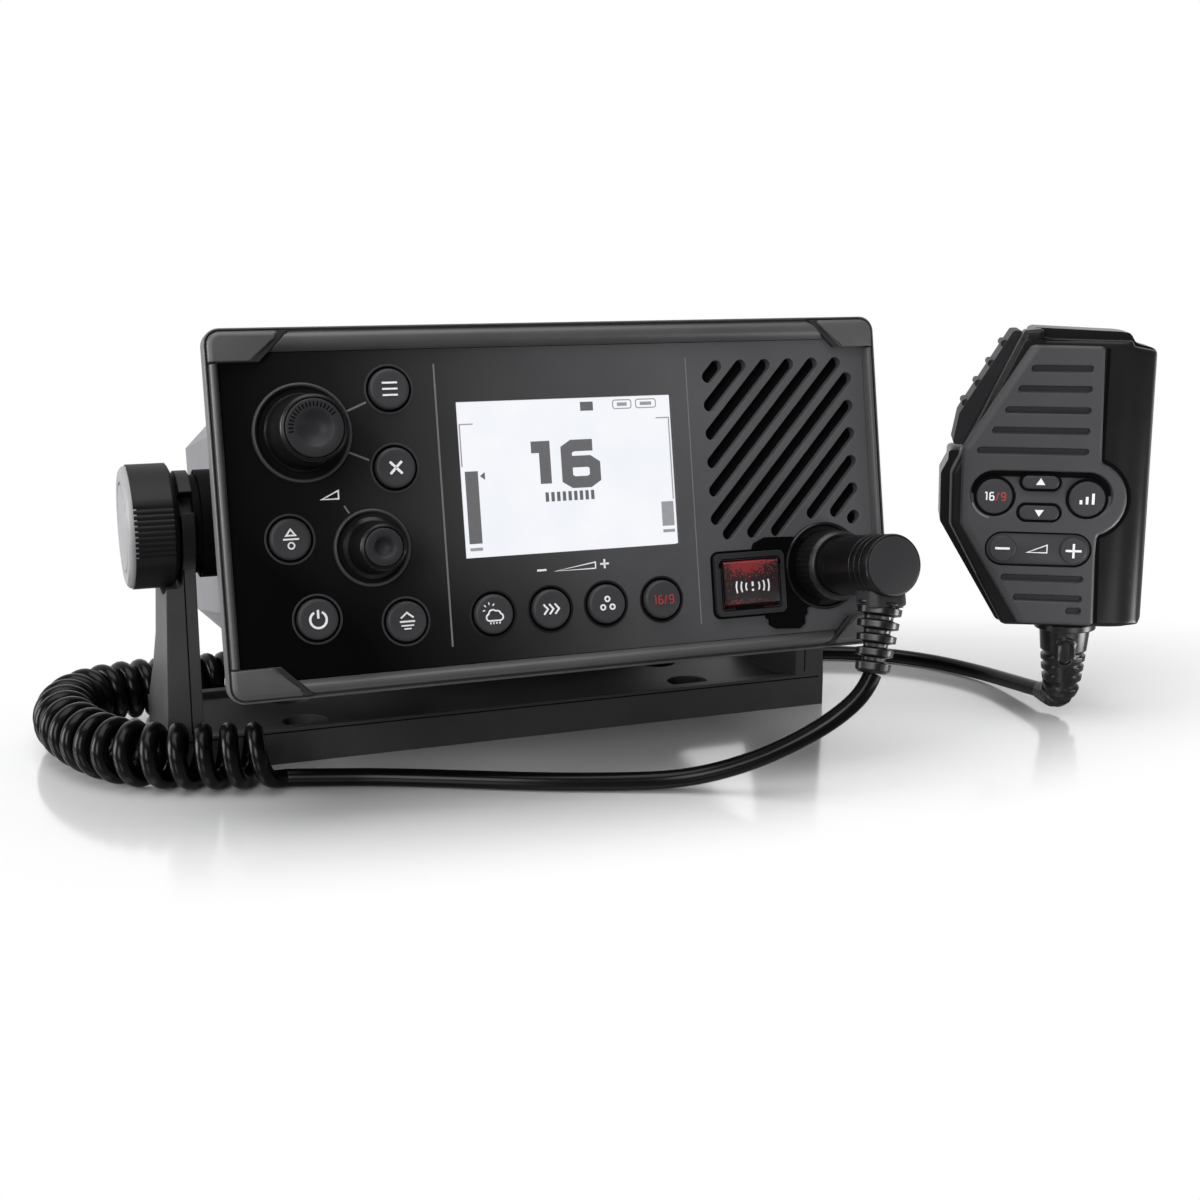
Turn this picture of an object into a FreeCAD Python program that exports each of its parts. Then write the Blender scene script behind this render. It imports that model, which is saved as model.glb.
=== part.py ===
import FreeCAD, Part
import math
import os
import re

import Sketcher
from FreeCAD import Placement, Rotation, Vector

# A marine radio in its tilting bracket, with a fist microphone on a coiled cord. Millimetres.
# Row frame: origin on the floor below the tilt axis, +X right, the radio's face looks to -Y, +Z up.
# Radio frame: origin at the face's centre on the bezel's front plane, x right, y back, z up.
# Handset frame: origin on the floor below the boot, x right, y back, z up.

doc = FreeCAD.newDocument("MarineRadio")
sheet = doc.addObject("Spreadsheet::Sheet", "Dims")

dimensions = {
    # where the three frames stand
    "tiltHeight": 66.9,
    "tiltDepth": 58,
    "restTilt": 10.4,
    "handsetRight": 161.4,
    "handsetBack": -46.4,
    "handsetTurn": -31,
    # bezel and face
    "bezelWidth": 180.6,
    "bezelHeight": 89.6,
    "bezelDepth": 18,
    "bezelWall": 2.8,
    "bezelFlange": 6,
    "bezelNeck": 3.2,
    "bezelRound": 4,
    "edgeRound": 1.4,
    "openWidth": 174,
    "openTop": 38.9,
    "openBottom": -40.2,
    "capInset": 20.8,
    "capSide": 36.5,
    "capReach": 77.3,
    "capThick": 2,
    "seam": 0.3,
    "panelFront": 2,
    "panelThick": 2.6,
    # screen
    "screenLeft": -29.3,
    "screenRight": 29,
    "screenBottom": -13.7,
    "screenTop": 25.5,
    "lensThick": 0.5,
    # round keys and knobs
    "keyRadius": 5,
    "keyClear": 0.35,
    "keyRing": 6,
    "keyRingDeep": 0.8,
    "keyProud": 1.3,
    "keyRound": 0.7,
    "flangeRadius": 6.2,
    "flangeThick": 1.2,
    "channelX": -68.1,
    "channelZ": 19.3,
    "channelRing": 11.8,
    "channelSkirt": 9.5,
    "channelFront": 7.7,
    "channelProud": 16,
    "volumeX": -53,
    "volumeZ": -9.4,
    "volumeRing": 9.5,
    "volumeSkirt": 7.6,
    "volumeFront": 5.4,
    "volumeProud": 13,
    "shaftRadius": 3,
    "plungerRadius": 4.2,
    "knobPush": 0.8,
    # speaker slots
    "slotWidth": 3.4,
    "slotAngle": 46.5,
    "slotPitch": 7.14,
    "slotFirst": 11.9,
    "grilleLeft": 40.1,
    "grilleRight": 81.4,
    "grilleTop": 32.3,
    "grilleBottom": -12,
    "grilleByPlug": -10,
    "grilleOverPlug": -7.9,
    "speakerX": 60,
    "speakerZ": 10.5,
    "speakerRadius": 21,
    # distress cover
    "surroundLeft": 38.1,
    "surroundRight": 58.5,
    "surroundBottom": -33.9,
    "surroundTop": -17.2,
    "coverGap": 1.9,
    "coverThick": 1.1,
    "coverPin": 0.9,
    "distressTravel": 1.2,
    # microphone socket and plug
    "socketX": 71,
    "socketZ": -22.4,
    "socketRing": 11.8,
    "ringRadius": 9.5,
    "ringLength": 9,
    "barrelRadius": 7.6,
    "capRadius": 8,
    "plugProud": 35,
    "stubWidth": 10.6,
    "stubDown": 33,
    "plugBootTop": 5.9,
    "plugBootEnd": 4.1,
    "plugBootLength": 16.2,
    "plugBootLean": 12,
    # case behind the bezel
    "caseWidth": 156,
    "caseHeight": 68,
    "caseChamfer": 8,
    "caseWall": 3,
    "caseBack": 150,
    "finFirst": -22.4,
    "finPitch": 11.2,
    "finThick": 2.4,
    "finDepth": 8,
    "gasketThick": 1.2,
    "boardThick": 1.6,
    "keyBoardFront": 7.9,
    "boardZ": -18,
    # rear connectors
    "antennaX": -48,
    "antennaZ": 6,
    "antennaThread": 7.9,
    "antennaLength": 14,
    "antennaBore": 2,
    # bracket
    "armInner": 89.8,
    "armStep": 93.1,
    "armOuter": 99.4,
    "bracketFront": -10,
    "bracketBack": 40,
    "baseHeight": 10,
    "trayDepth": 2.5,
    "lipWidth": 3.6,
    "bossRadius": 14.5,
    "armTaper": 2.45,
    "knobRecess": 18.4,
    "notchWidth": 6,
    "notchAngle": 147,
    "holeX": 59.7,
    "holeFront": 4.6,
    "holeSpacing": 25,
    "screwHole": 2.6,
    "counterbore": 6.25,
    "counterDeep": 3,
    "hubRadius": 14.5,
    "washerRadius": 13.2,
    "washerThick": 2,
    "studRadius": 3,
    "studClear": 3.4,
    "knobInner": 93.7,
    "knobOuter": 107,
    "knobRadius": 16.7,
    # handset
    "shellFront": 12,
    "shellBack": 16,
    "shellSplit": 4,
    "shellWall": 2.2,
    "facePlane": 13.6,
    "buttonProud": 0.5,
    "studHead": 8,
    "studNeck": 4.5,
    "bootTop": 7.4,
    "bootEnd": 4.8,
    "bootBend": 6.2,
    "bootAxis": 5,
    "bootTip": 4,
    # cord
    "cordRadius": 2.4,
    "coilRadius": 9,
    "coilHeight": 9.1,
}
for row, (alias, number) in enumerate(dimensions.items(), start=1):
    sheet.set(f"A{row}", alias)
    sheet.set(f"B{row}", str(number))
    sheet.setAlias(f"B{row}", alias)
doc.recompute()


def bound(text):
    """The expression with every dimension's word naming its cell."""
    return re.sub(
        r"[a-zA-Z]\w+",
        lambda word: f"Dims.{word[0]}" if word[0] in dimensions else word[0],
        str(text),
    )


def amount(text):
    """An expression's value."""
    return float(sheet.evalExpression(bound(text)))


def bind(feature, prop, text):
    feature.setExpression(prop, bound(text))


# ---- frames ----
tilt = math.radians(amount("restTilt"))
radioFrame = Placement(
    Vector(
        0,
        -amount("tiltDepth") * math.cos(tilt),
        amount("tiltHeight") + amount("tiltDepth") * math.sin(tilt),
    ),
    Rotation(Vector(1, 0, 0), -amount("restTilt")),
)
handsetFrame = Placement(
    Vector(amount("handsetRight"), amount("handsetBack"), 0),
    Rotation(Vector(0, 0, 1), amount("handsetTurn")),
)
rowFrame = Placement()

# ---- primitives, booleans and sketches ----
axisTurns = {
    "x": Rotation(Vector(0, 0, 1), Vector(1, 0, 0)),
    "y": Rotation(Vector(0, 0, 1), Vector(0, 1, 0)),
    "z": Rotation(),
    "down": Rotation(Vector(0, 0, 1), Vector(0, 0, -1)),
}


def moveTo(feature, point):
    for corner, text in zip("xyz", point):
        bind(feature, f"Placement.Base.{corner}", text)


def box(across, back, up):
    """A block between two values on each axis."""
    block = doc.addObject("Part::Box", "Block")
    for side, (low, high) in zip(("Length", "Width", "Height"), (across, back, up)):
        bind(block, side, f"({high}) - ({low})")
    moveTo(block, (across[0], back[0], up[0]))
    return block


def rod(radius, start, length, axis="y"):
    """A cylinder from its start point along an axis."""
    cylinder = doc.addObject("Part::Cylinder", "Rod")
    cylinder.Placement = Placement(Vector(), axisTurns[axis])
    bind(cylinder, "Radius", radius)
    bind(cylinder, "Height", length)
    moveTo(cylinder, start)
    return cylinder


def cone(startRadius, endRadius, start, length, axis="y"):
    """A cone from its start point along an axis."""
    taper = doc.addObject("Part::Cone", "Taper")
    taper.Placement = Placement(Vector(), axisTurns[axis])
    bind(taper, "Radius1", startRadius)
    bind(taper, "Radius2", endRadius)
    bind(taper, "Height", length)
    moveTo(taper, start)
    return taper


def join(*shapes):
    if len(shapes) == 1:
        return shapes[0]
    whole = doc.addObject("Part::MultiFuse", "Joined")
    whole.Shapes = list(shapes)
    whole.Refine = True
    return whole


def cut(base, *tools):
    rest = doc.addObject("Part::Cut", "Cut")
    rest.Base = base
    rest.Tool = join(*tools)
    return rest


def group(*shapes):
    bunch = doc.addObject("Part::Compound", "Bunch")
    bunch.Links = list(shapes)
    return bunch


def runsAlong(axis):
    """Test for straight edges along an axis."""
    line = Vector(*(axis == each for each in "xyz"))

    def test(edge):
        straight = isinstance(edge.Curve, Part.Line)
        return straight and abs(edge.tangentAt(edge.FirstParameter).dot(line)) > 0.999

    return test


def liesAt(axis, text):
    """Test for edges that lie wholly at one value of an axis."""
    value = amount(text)

    def test(edge):
        bounds = edge.BoundBox
        low = getattr(bounds, f"{axis.upper()}Min")
        high = getattr(bounds, f"{axis.upper()}Max")
        return abs(low - value) < 0.01 and abs(high - value) < 0.01

    return test


def rounded(base, radius, axis):
    """The base with its straight edges along one axis rounded."""
    doc.recompute()
    wanted = runsAlong(axis)
    size = amount(radius)
    edges = [
        (number, size, size) for number, edge in enumerate(base.Shape.Edges, start=1) if wanted(edge)
    ]
    smooth = doc.addObject("Part::Fillet", "Rounded")
    smooth.Base = base
    smooth.Edges = edges
    return smooth


def newBody(name):
    return doc.addObject("PartDesign::Body", name)


def sketchOn(body, role, shift="0"):
    """A sketch on one of the body's origin planes, moved along the plane's normal."""
    sketch = body.newObject("Sketcher::SketchObject", f"{body.Name}Sketch")
    plane = next(item for item in body.Origin.OriginFeatures if item.Role == role)
    sketch.AttachmentSupport = [(plane, "")]
    sketch.MapMode = "FlatFace"
    bind(sketch, "AttachmentOffset.Base.z", shift)
    return sketch


def hold(sketch, kind, *where, text):
    """A sketch constraint that follows the sheet."""
    number = sketch.addConstraint(Sketcher.Constraint(kind, *where, amount(text)))
    bind(sketch, f"Constraints[{number}]", text)


def polygon(sketch, points):
    """A closed outline whose corners are held from the sketch's origin."""
    corners = [Vector(amount(across), amount(up), 0) for across, up in points]
    first = sketch.GeometryCount
    count = len(corners)
    for place in range(count):
        sketch.addGeometry(Part.LineSegment(corners[place], corners[(place + 1) % count]), False)
    for place, (across, up) in enumerate(points):
        after = first + (place + 1) % count
        sketch.addConstraint(Sketcher.Constraint("Coincident", first + place, 2, after, 1))
        hold(sketch, "DistanceX", -1, 1, first + place, 1, text=across)
        hold(sketch, "DistanceY", -1, 1, first + place, 1, text=up)


def rectangle(left, right, low, high):
    return [(left, low), (right, low), (right, high), (left, high)]


def circle(sketch, across, up, radius):
    centre = Vector(amount(across), amount(up), 0)
    number = sketch.addGeometry(Part.Circle(centre, Vector(0, 0, 1), amount(radius)), False)
    hold(sketch, "DistanceX", -1, 1, number, 3, text=across)
    hold(sketch, "DistanceY", -1, 1, number, 3, text=up)
    hold(sketch, "Radius", number, text=radius)


def pad(body, sketch, length, backwards=False):
    grown = body.newObject("PartDesign::Pad", f"{body.Name}Pad")
    grown.Profile = sketch
    grown.Reversed = backwards
    bind(grown, "Length", length)
    return grown


def pocket(body, sketch, length, backwards=False):
    sunk = body.newObject("PartDesign::Pocket", f"{body.Name}Pocket")
    sunk.Profile = sketch
    sunk.Reversed = backwards
    bind(sunk, "Length", length)
    return sunk


def revolve(body, sketch, axisName):
    """Turn the sketch's outline about the sketch's own axis."""
    turned = body.newObject("PartDesign::Revolution", f"{body.Name}Turned")
    turned.Profile = sketch
    turned.ReferenceAxis = (sketch, [axisName])
    turned.Angle = 360
    return turned


def dress(body, kind, size, wanted):
    """Fillet or chamfer those edges of the body's tip that the test picks."""
    doc.recompute()
    tip = body.Tip
    names = [f"Edge{n}" for n, edge in enumerate(tip.Shape.Edges, start=1) if wanted(edge)]
    finish = body.newObject(kind, f"{body.Name}Edge")
    finish.Base = (tip, names)
    bind(finish, "Radius" if kind.endswith("Fillet") else "Size", size)


subParts = []


def subPart(label, feature, frame):
    """Name a finished piece and put it in its frame."""
    if feature.TypeId in ("Part::Box", "Part::Cylinder", "Part::Cone"):
        feature = group(feature)
    feature.Label = label
    feature.Placement = frame
    subParts.append(feature)
    return feature


# ---- radio: bezel and face ----
keyPlaces = {
    "key_menu": (-46.1, 29.1),
    "key_cancel": (-45.9, 9.8),
    "key_intercom": (-72.9, -6.1),
    "key_power": (-67.7, -25.8),
    "key_position": (-45.8, -28.1),
    "key_weather": (-23.3, -28.1),
    "key_scan": (-8, -28),
    "key_watch": (7.2, -27.9),
    "key_channel_16": (22.8, -27.9),
}
knobPlaces = (("channelX", "channelZ"), ("volumeX", "volumeZ"))
corners = {"top_left": (-1, 1), "top_right": (1, 1), "bottom_left": (-1, -1), "bottom_right": (1, -1)}


def cornerOutline(side, level, grow):
    """The bezel corner's cap, seen from the front, grown by a gap towards the bars."""
    right = "bezelWidth / 2"
    top = "bezelHeight / 2"
    points = [
        (f"{right} - capInset - {grow}", f"{top}"),
        (f"{right}", f"{top}"),
        (f"{right}", f"capSide - {grow}"),
        (f"capReach - 1.4 * {grow}", f"capSide - {grow}"),
    ]
    return [(f"{side} * ({across})", f"{level} * ({up})") for across, up in points]


def isBezelCorner(edge):
    """Whether an edge of a cap runs back from one of the bezel's four corners."""
    middle = edge.CenterOfMass
    sideways = abs(abs(middle.x) - amount("bezelWidth / 2")) < 0.1
    upright = abs(abs(middle.z) - amount("bezelHeight / 2")) < 0.1
    return runsAlong("y")(edge) and sideways and upright


def makeCornerCaps():
    caps = []
    for name, (side, level) in corners.items():
        body = newBody(f"Cap_{name}")
        sketch = sketchOn(body, "XZ_Plane")
        polygon(sketch, cornerOutline(side, level, 0))
        pad(body, sketch, "capThick - 0.1", backwards=True)
        dress(body, "PartDesign::Fillet", "bezelRound", isBezelCorner)
        caps.append(body)
    subPart("corner_caps", group(*caps), radioFrame)


def makeFrontBezel():
    body = newBody("Bezel")
    outline = sketchOn(body, "XZ_Plane")
    right = "bezelWidth / 2"
    top = "bezelHeight / 2"
    polygon(outline, rectangle(f"-{right}", right, f"-{top}", top))
    pad(body, outline, "bezelFlange", backwards=True)
    dress(body, "PartDesign::Fillet", "bezelRound", runsAlong("y"))
    dress(body, "PartDesign::Fillet", "edgeRound", liesAt("y", 0))
    neck = sketchOn(body, "XZ_Plane", "-bezelFlange")
    neckSide = f"({right} - bezelNeck)"
    neckTop = f"({top} - bezelNeck)"
    polygon(neck, rectangle(f"-{neckSide}", neckSide, f"-{neckTop}", neckTop))
    pad(body, neck, "bezelDepth - bezelFlange", backwards=True)
    opening = sketchOn(body, "XZ_Plane")
    half = "openWidth / 2"
    polygon(opening, rectangle(f"-{half}", half, "openBottom", "openTop"))
    pocket(body, opening, "panelFront + panelThick + 0.1")
    room = sketchOn(body, "XZ_Plane")
    roomSide = f"({neckSide} - bezelWall)"
    roomTop = f"({neckTop} - bezelWall)"
    polygon(room, rectangle(f"-{roomSide}", roomSide, f"-{roomTop}", roomTop))
    pocket(body, room, "bezelDepth - bezelWall")
    passage = sketchOn(body, "XZ_Plane")
    polygon(passage, caseOutline("caseWall"))
    pocket(body, passage, "bezelDepth")
    for side, level in corners.values():
        seat = sketchOn(body, "XZ_Plane")
        polygon(seat, cornerOutline(side, level, "seam"))
        pocket(body, seat, "capThick")
    subPart("front_bezel", body, radioFrame)


def makeSlots():
    """The diagonal slots over the speaker, rising to the right, with round ends."""
    slots = []
    for number in range(12):
        offset = f"(slotFirst + slotPitch * {number})"
        bottom = "grilleBottom"
        if number > 8:
            bottom = "grilleByPlug" if number == 11 else "grilleOverPlug"
        startX = f"max(grilleLeft; {offset} + {bottom} / tan(slotAngle))"
        endX = f"min(grilleRight; {offset} + grilleTop / tan(slotAngle))"
        startZ = f"({startX} - {offset}) * tan(slotAngle)"
        endZ = f"({endX} - {offset}) * tan(slotAngle)"
        bar = doc.addObject("Part::Box", "Slot")
        bar.Placement = Placement(Vector(), Rotation(Vector(0, 1, 0), -amount("slotAngle")))
        bind(bar, "Length", f"({endX} - {startX}) / cos(slotAngle)")
        bind(bar, "Width", "10")
        bind(bar, "Height", "slotWidth")
        aside = "slotWidth / 2 * sin(slotAngle)"
        below = "slotWidth / 2 * cos(slotAngle)"
        moveTo(bar, (f"{startX} + {aside}", "0", f"{startZ} - {below}"))
        ends = [rod("slotWidth / 2", (startX, "0", startZ), "10"), rod("slotWidth / 2", (endX, "0", endZ), "10")]
        slots += [bar, *ends]
    return slots


def makeFacePanel():
    front = "panelFront"
    back = "panelFront + panelThick"
    clear = "seam / 2"
    plate = box(
        (f"-openWidth / 2 + {clear}", f"openWidth / 2 - {clear}"),
        (front, back),
        (f"openBottom + {clear}", f"openTop - {clear}"),
    )
    rings = []
    for ring, (x, z) in zip(("channelRing", "volumeRing"), knobPlaces):
        outer = rod(ring, (x, "panelFront - 0.6", z), "1.6")
        rings.append(cut(outer, rod(f"{ring} - 0.9", (x, "panelFront - 1", z), "3")))
    holes = []
    for x, z in keyPlaces.values():
        holes.append(rod("keyRing", (x, "panelFront - 1", z), "keyRingDeep + 1"))
        holes.append(rod("keyRadius + keyClear", (x, "0", z), "10"))
    for x, z in knobPlaces:
        holes.append(rod("shaftRadius + 1.6", (x, "0", z), "10"))
    holes.append(rod("barrelRadius + 2", ("socketX", "0", "socketZ"), "10"))
    holes.append(box(("screenLeft", "screenRight"), ("0", "10"), ("screenBottom", "screenTop")))
    holes.append(
        box(
            ("surroundLeft + 1", "surroundRight - 1"),
            ("0", "10"),
            ("surroundBottom + 1", "surroundTop - 1"),
        )
    )
    face = cut(join(plate, *rings), *holes, *makeSlots())
    subPart("face_panel", face, radioFrame)


def makeScreen():
    edge = "seam / 2"
    across = (f"screenLeft + {edge}", f"screenRight - {edge}")
    up = (f"screenBottom + {edge}", f"screenTop - {edge}")
    window = box(across, ("panelFront + 0.1", "panelFront + 0.1 + lensThick"), up)
    subPart("screen_lens", window, radioFrame)
    module = join(
        box(across, ("panelFront + lensThick + 0.25", "panelFront + 5"), up),
        box(
            ("screenLeft - 2.2", "screenRight + 2.2"),
            ("panelFront + panelThick + 0.1", "panelFront + 5"),
            ("screenBottom - 2.2", "screenTop + 2.2"),
        ),
    )
    subPart("screen_module", module, radioFrame)


def makeKeys():
    for label, (x, z) in keyPlaces.items():
        body = newBody(f"Body_{label}")
        sketch = sketchOn(body, "XZ_Plane", "keyProud - panelFront")
        circle(sketch, x, z, "keyRadius")
        pad(body, sketch, "keyProud + panelThick + 0.4", backwards=True)
        dress(body, "PartDesign::Fillet", "keyRound", liesAt("y", "panelFront - keyProud"))
        flange = sketchOn(body, "XZ_Plane", "-(panelFront + panelThick + 0.1)")
        circle(flange, x, z, "flangeRadius")
        pad(body, flange, "flangeThick", backwards=True)
        subPart(label, body, radioFrame)


def makeKnob(label, x, z, skirt, front, proud):
    """A turned knob with a skirt, a dished end and its own shaft."""
    body = newBody(f"Body_{label}")
    sketch = sketchOn(body, "XY_Plane")
    outline = [
        ("0", f"panelFront - {proud} + 1.3"),
        (f"{front} * 0.5", f"panelFront - {proud} + 1.3"),
        (f"{front} * 0.74", f"panelFront - {proud}"),
        (f"{front} - 0.6", f"panelFront - {proud}"),
        (f"{front}", f"panelFront - {proud} + 0.8"),
        (f"{front} + 0.5", "panelFront - 4.6"),
        (f"{skirt}", "panelFront - 3.4"),
        (f"{skirt}", "panelFront - knobPush - 0.3"),
        ("shaftRadius", "panelFront - knobPush - 0.3"),
        ("shaftRadius", "keyBoardFront + boardThick + 3.2"),
        ("0", "keyBoardFront + boardThick + 3.2"),
    ]
    polygon(sketch, outline)
    revolve(body, sketch, "V_Axis")
    spot = Placement(Vector(amount(x), 0, amount(z)), Rotation())
    subPart(label, body, radioFrame * spot)


def makeEncoders():
    """Each knob's encoder, with the plunger that the knob's shaft pushes."""
    front = "keyBoardFront + boardThick + 0.1"
    well = f"{front} + 3"
    housings = []
    for x, z in knobPlaces:
        shell = box((f"{x} - 6", f"{x} + 6"), (front, f"{front} + 9"), (f"{z} - 6", f"{z} + 6"))
        bushStart = "panelFront + panelThick + 0.3"
        bush = rod("shaftRadius + 1.5", (x, bushStart, z), f"{front} - panelThick - panelFront")
        bore = rod("shaftRadius + 0.15", (x, "0", z), "20")
        room = rod("plungerRadius + 0.3", (x, well, z), "10")
        housings.append(cut(join(shell, bush), bore, room))
    subPart("rotary_encoders", group(*housings), radioFrame)
    for label, (x, z) in zip(("channel_plunger", "volume_plunger"), knobPlaces):
        plunger = join(
            rod("plungerRadius", (x, f"{well} + 0.2", z), "2.4"),
            rod("shaftRadius - 0.8", (x, f"{well} + 2.5", z), "2.2"),
        )
        subPart(label, plunger, radioFrame)


def makeDistress():
    left = "surroundLeft"
    right = "surroundRight"
    low = "surroundBottom"
    high = "surroundTop"
    rim = box((left, right), ("panelFront - 1.6", "panelFront - 0.05"), (low, high))
    ring = rounded(rim, "1.6", "y")
    hole = box(
        (f"{left} + coverGap", f"{right} - coverGap"),
        ("-5", "10"),
        (f"{low} + coverGap", f"{high} - coverGap"),
    )
    flange = box(
        (f"{left} + 1.2", f"{right} - 1.2"),
        ("panelFront - 0.1", "panelFront + 2.4"),
        (f"{low} + 1.2", f"{high} - 1.2"),
    )
    inset = "(coverGap + 0.35)"
    pinZ = f"{high} - {inset} - coverPin"
    pinY = "panelFront - 1.3"
    socket = rod("coverPin - 0.15", (f"{left} + 1", pinY, pinZ), f"{right} - {left} - 2", "x")
    subPart("distress_surround", cut(join(ring, flange), hole, socket), radioFrame)
    leaf = rounded(
        box(
            (f"{left} + {inset}", f"{right} - {inset}"),
            ("panelFront - 2.4", "panelFront - 2.4 + coverThick"),
            (f"{low} + {inset}", pinZ),
        ),
        "0.5",
        "y",
    )
    hinge = rod("coverPin", (f"{left} + {inset}", pinY, pinZ), f"{right} - {left} - 2 * {inset}", "x")
    pins = rod("coverPin - 0.3", (f"{left} + 1.2", pinY, pinZ), f"{right} - {left} - 2.4", "x")
    subPart("distress_cover", join(leaf, hinge, pins), radioFrame)
    button = join(
        rounded(
            box(
                (f"{left} + 4.6", f"{right} - 4.6"),
                ("panelFront - 0.9", "panelFront + 3"),
                (f"{low} + 4.2", f"{high} - 5.4"),
            ),
            "0.8",
            "y",
        ),
        box(
            (f"{left} + 0.8", f"{right} - 0.8"),
            ("panelFront + 2.9", "panelFront + 2.9 + distressTravel"),
            (f"{low} + 0.8", f"{high} - 0.8"),
        ),
    )
    subPart("distress_button", button, radioFrame)


def makeSpeaker():
    x = "speakerX"
    z = "speakerZ"
    basket = cut(
        join(
            rod("speakerRadius", (x, "5.2", z), "2.6"),
            cone("speakerRadius - 1", "9", (x, "7.8", z), "7"),
            rod("11", (x, "14.8", z), "6.4"),
        ),
        cone("speakerRadius - 3", "5", (x, "5", z), "7.6"),
    )
    subPart("speaker_driver", basket, radioFrame)


def makeBoards():
    matDepth = ("keyBoardFront - 0.75", "keyBoardFront - 0.05")
    lowerMat = box(("-82", "33"), matDepth, ("-36.5", "-20"))
    leftMat = box(("-82", "-38"), matDepth, ("-21", "36"))
    matHoles = [rod("shaftRadius + 2", (x, "5", z), "5") for x, z in knobPlaces]
    subPart("key_mat", cut(join(lowerMat, leftMat), *matHoles), radioFrame)
    plate = box(("-82", "33"), ("keyBoardFront", "keyBoardFront + boardThick"), ("-36.5", "36"))
    boardHoles = [rod("shaftRadius + 2", (x, "5", z), "6") for x, z in knobPlaces]
    subPart("key_board", cut(plate, *boardHoles), radioFrame)
    top = "boardZ + boardThick"
    subPart("main_board", box(("-70", "70"), ("26", "140"), ("boardZ", top)), radioFrame)
    can = cut(
        box(("-20", "50"), ("60", "128"), (f"{top} + 0.1", f"{top} + 16")),
        box(("-18.8", "48.8"), ("61.2", "126.8"), (top, f"{top} + 14.8")),
    )
    subPart("rf_shield", can, radioFrame)
    gasketFront = "bezelDepth + 0.05"
    gasket = cut(
        box(
            ("-caseWidth / 2 + 0.5", "caseWidth / 2 - 0.5"),
            (gasketFront, "bezelDepth + gasketThick - 0.05"),
            ("-caseHeight / 2 + 0.5", "caseHeight / 2 - 0.5"),
        ),
        box(
            ("-caseWidth / 2 + 3", "caseWidth / 2 - 3"),
            ("0", "40"),
            ("-caseHeight / 2 + 3", "caseHeight / 2 - 3"),
        ),
    )
    subPart("front_gasket", gasket, radioFrame)


def caseOutline(shrink):
    """The case's section: a rectangle with its corners taken off at 45 degrees."""
    wide = f"(caseWidth / 2 - {shrink})"
    tall = f"(caseHeight / 2 - {shrink})"
    slope = f"(caseChamfer - 0.586 * {shrink})"
    quarter = [(f"{wide} - {slope}", tall), (wide, f"{tall} - {slope}")]
    points = list(quarter)
    points += [(x, f"-({z})") for x, z in reversed(quarter)]
    points += [(f"-({x})", f"-({z})") for x, z in quarter]
    points += [(f"-({x})", z) for x, z in reversed(quarter)]
    return points


def makeRearCase():
    body = newBody("Case")
    front = "bezelDepth + gasketThick"
    outside = sketchOn(body, "XZ_Plane", f"-({front})")
    polygon(outside, caseOutline("0"))
    pad(body, outside, f"caseBack - ({front})", backwards=True)
    inside = sketchOn(body, "XZ_Plane", f"-({front})")
    polygon(inside, caseOutline("caseWall"))
    pocket(body, inside, f"caseBack - ({front}) - caseWall")
    fins = [
        box(
            (f"{place} - finThick / 2", f"{place} + finThick / 2"),
            ("caseBack - 0.5", "caseBack + finDepth"),
            ("-caseHeight / 2 + caseChamfer", "caseHeight / 2 - caseChamfer"),
        )
        for place in [f"(finFirst + finPitch * {step})" for step in range(8)]
    ]
    holes = [
        rod("antennaThread + 0.1", ("antennaX", "caseBack - 10", "antennaZ"), "20"),
        rod("5.1", ("-60", "caseBack - 10", "-16"), "20"),
    ]
    subPart("rear_case", cut(join(body, *fins), *holes), radioFrame)


def makeTiltHubs():
    """Ratchet discs on the case's sides, with a threaded bore for the bracket knob."""
    hubs = []
    for side in (-1, 1):
        inner = "caseWidth / 2 + 0.05"
        outer = "armInner - washerThick - 0.1"
        length = f"({outer}) - ({inner})"
        start = inner if side > 0 else f"-({outer})"
        disc = rod("hubRadius", (start, "tiltDepth", "0"), length, "x")
        teeth = []
        for step in range(12):
            angle = 30 * step
            reach = "hubRadius - 1.1"
            y = f"tiltDepth + ({reach}) * cos({angle})"
            z = f"({reach}) * sin({angle})"
            level = f"({outer}) - 1" if side > 0 else f"-({outer}) - 2"
            teeth.append(rod("0.9", (level, y, z), "3", "x"))
        bore = rod("studRadius + 0.1", ("60" if side > 0 else "-110", "tiltDepth", "0"), "50", "x")
        hubs.append(cut(disc, bore, *teeth))
    subPart("tilt_hubs", group(*hubs), radioFrame)


def makeCaseScrews():
    screws = []
    for side, level in corners.values():
        x = f"{side} * (caseWidth / 2 - 14)"
        z = f"{level} * (caseHeight / 2 + 3.2)"
        head = rod("2.9", (x, "bezelDepth + 0.05", z), "2.4")
        recess = rod("1.2", (x, "bezelDepth + 1.2", z), "3")
        screws.append(cut(head, recess))
    subPart("case_screws", group(*screws), radioFrame)


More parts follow.
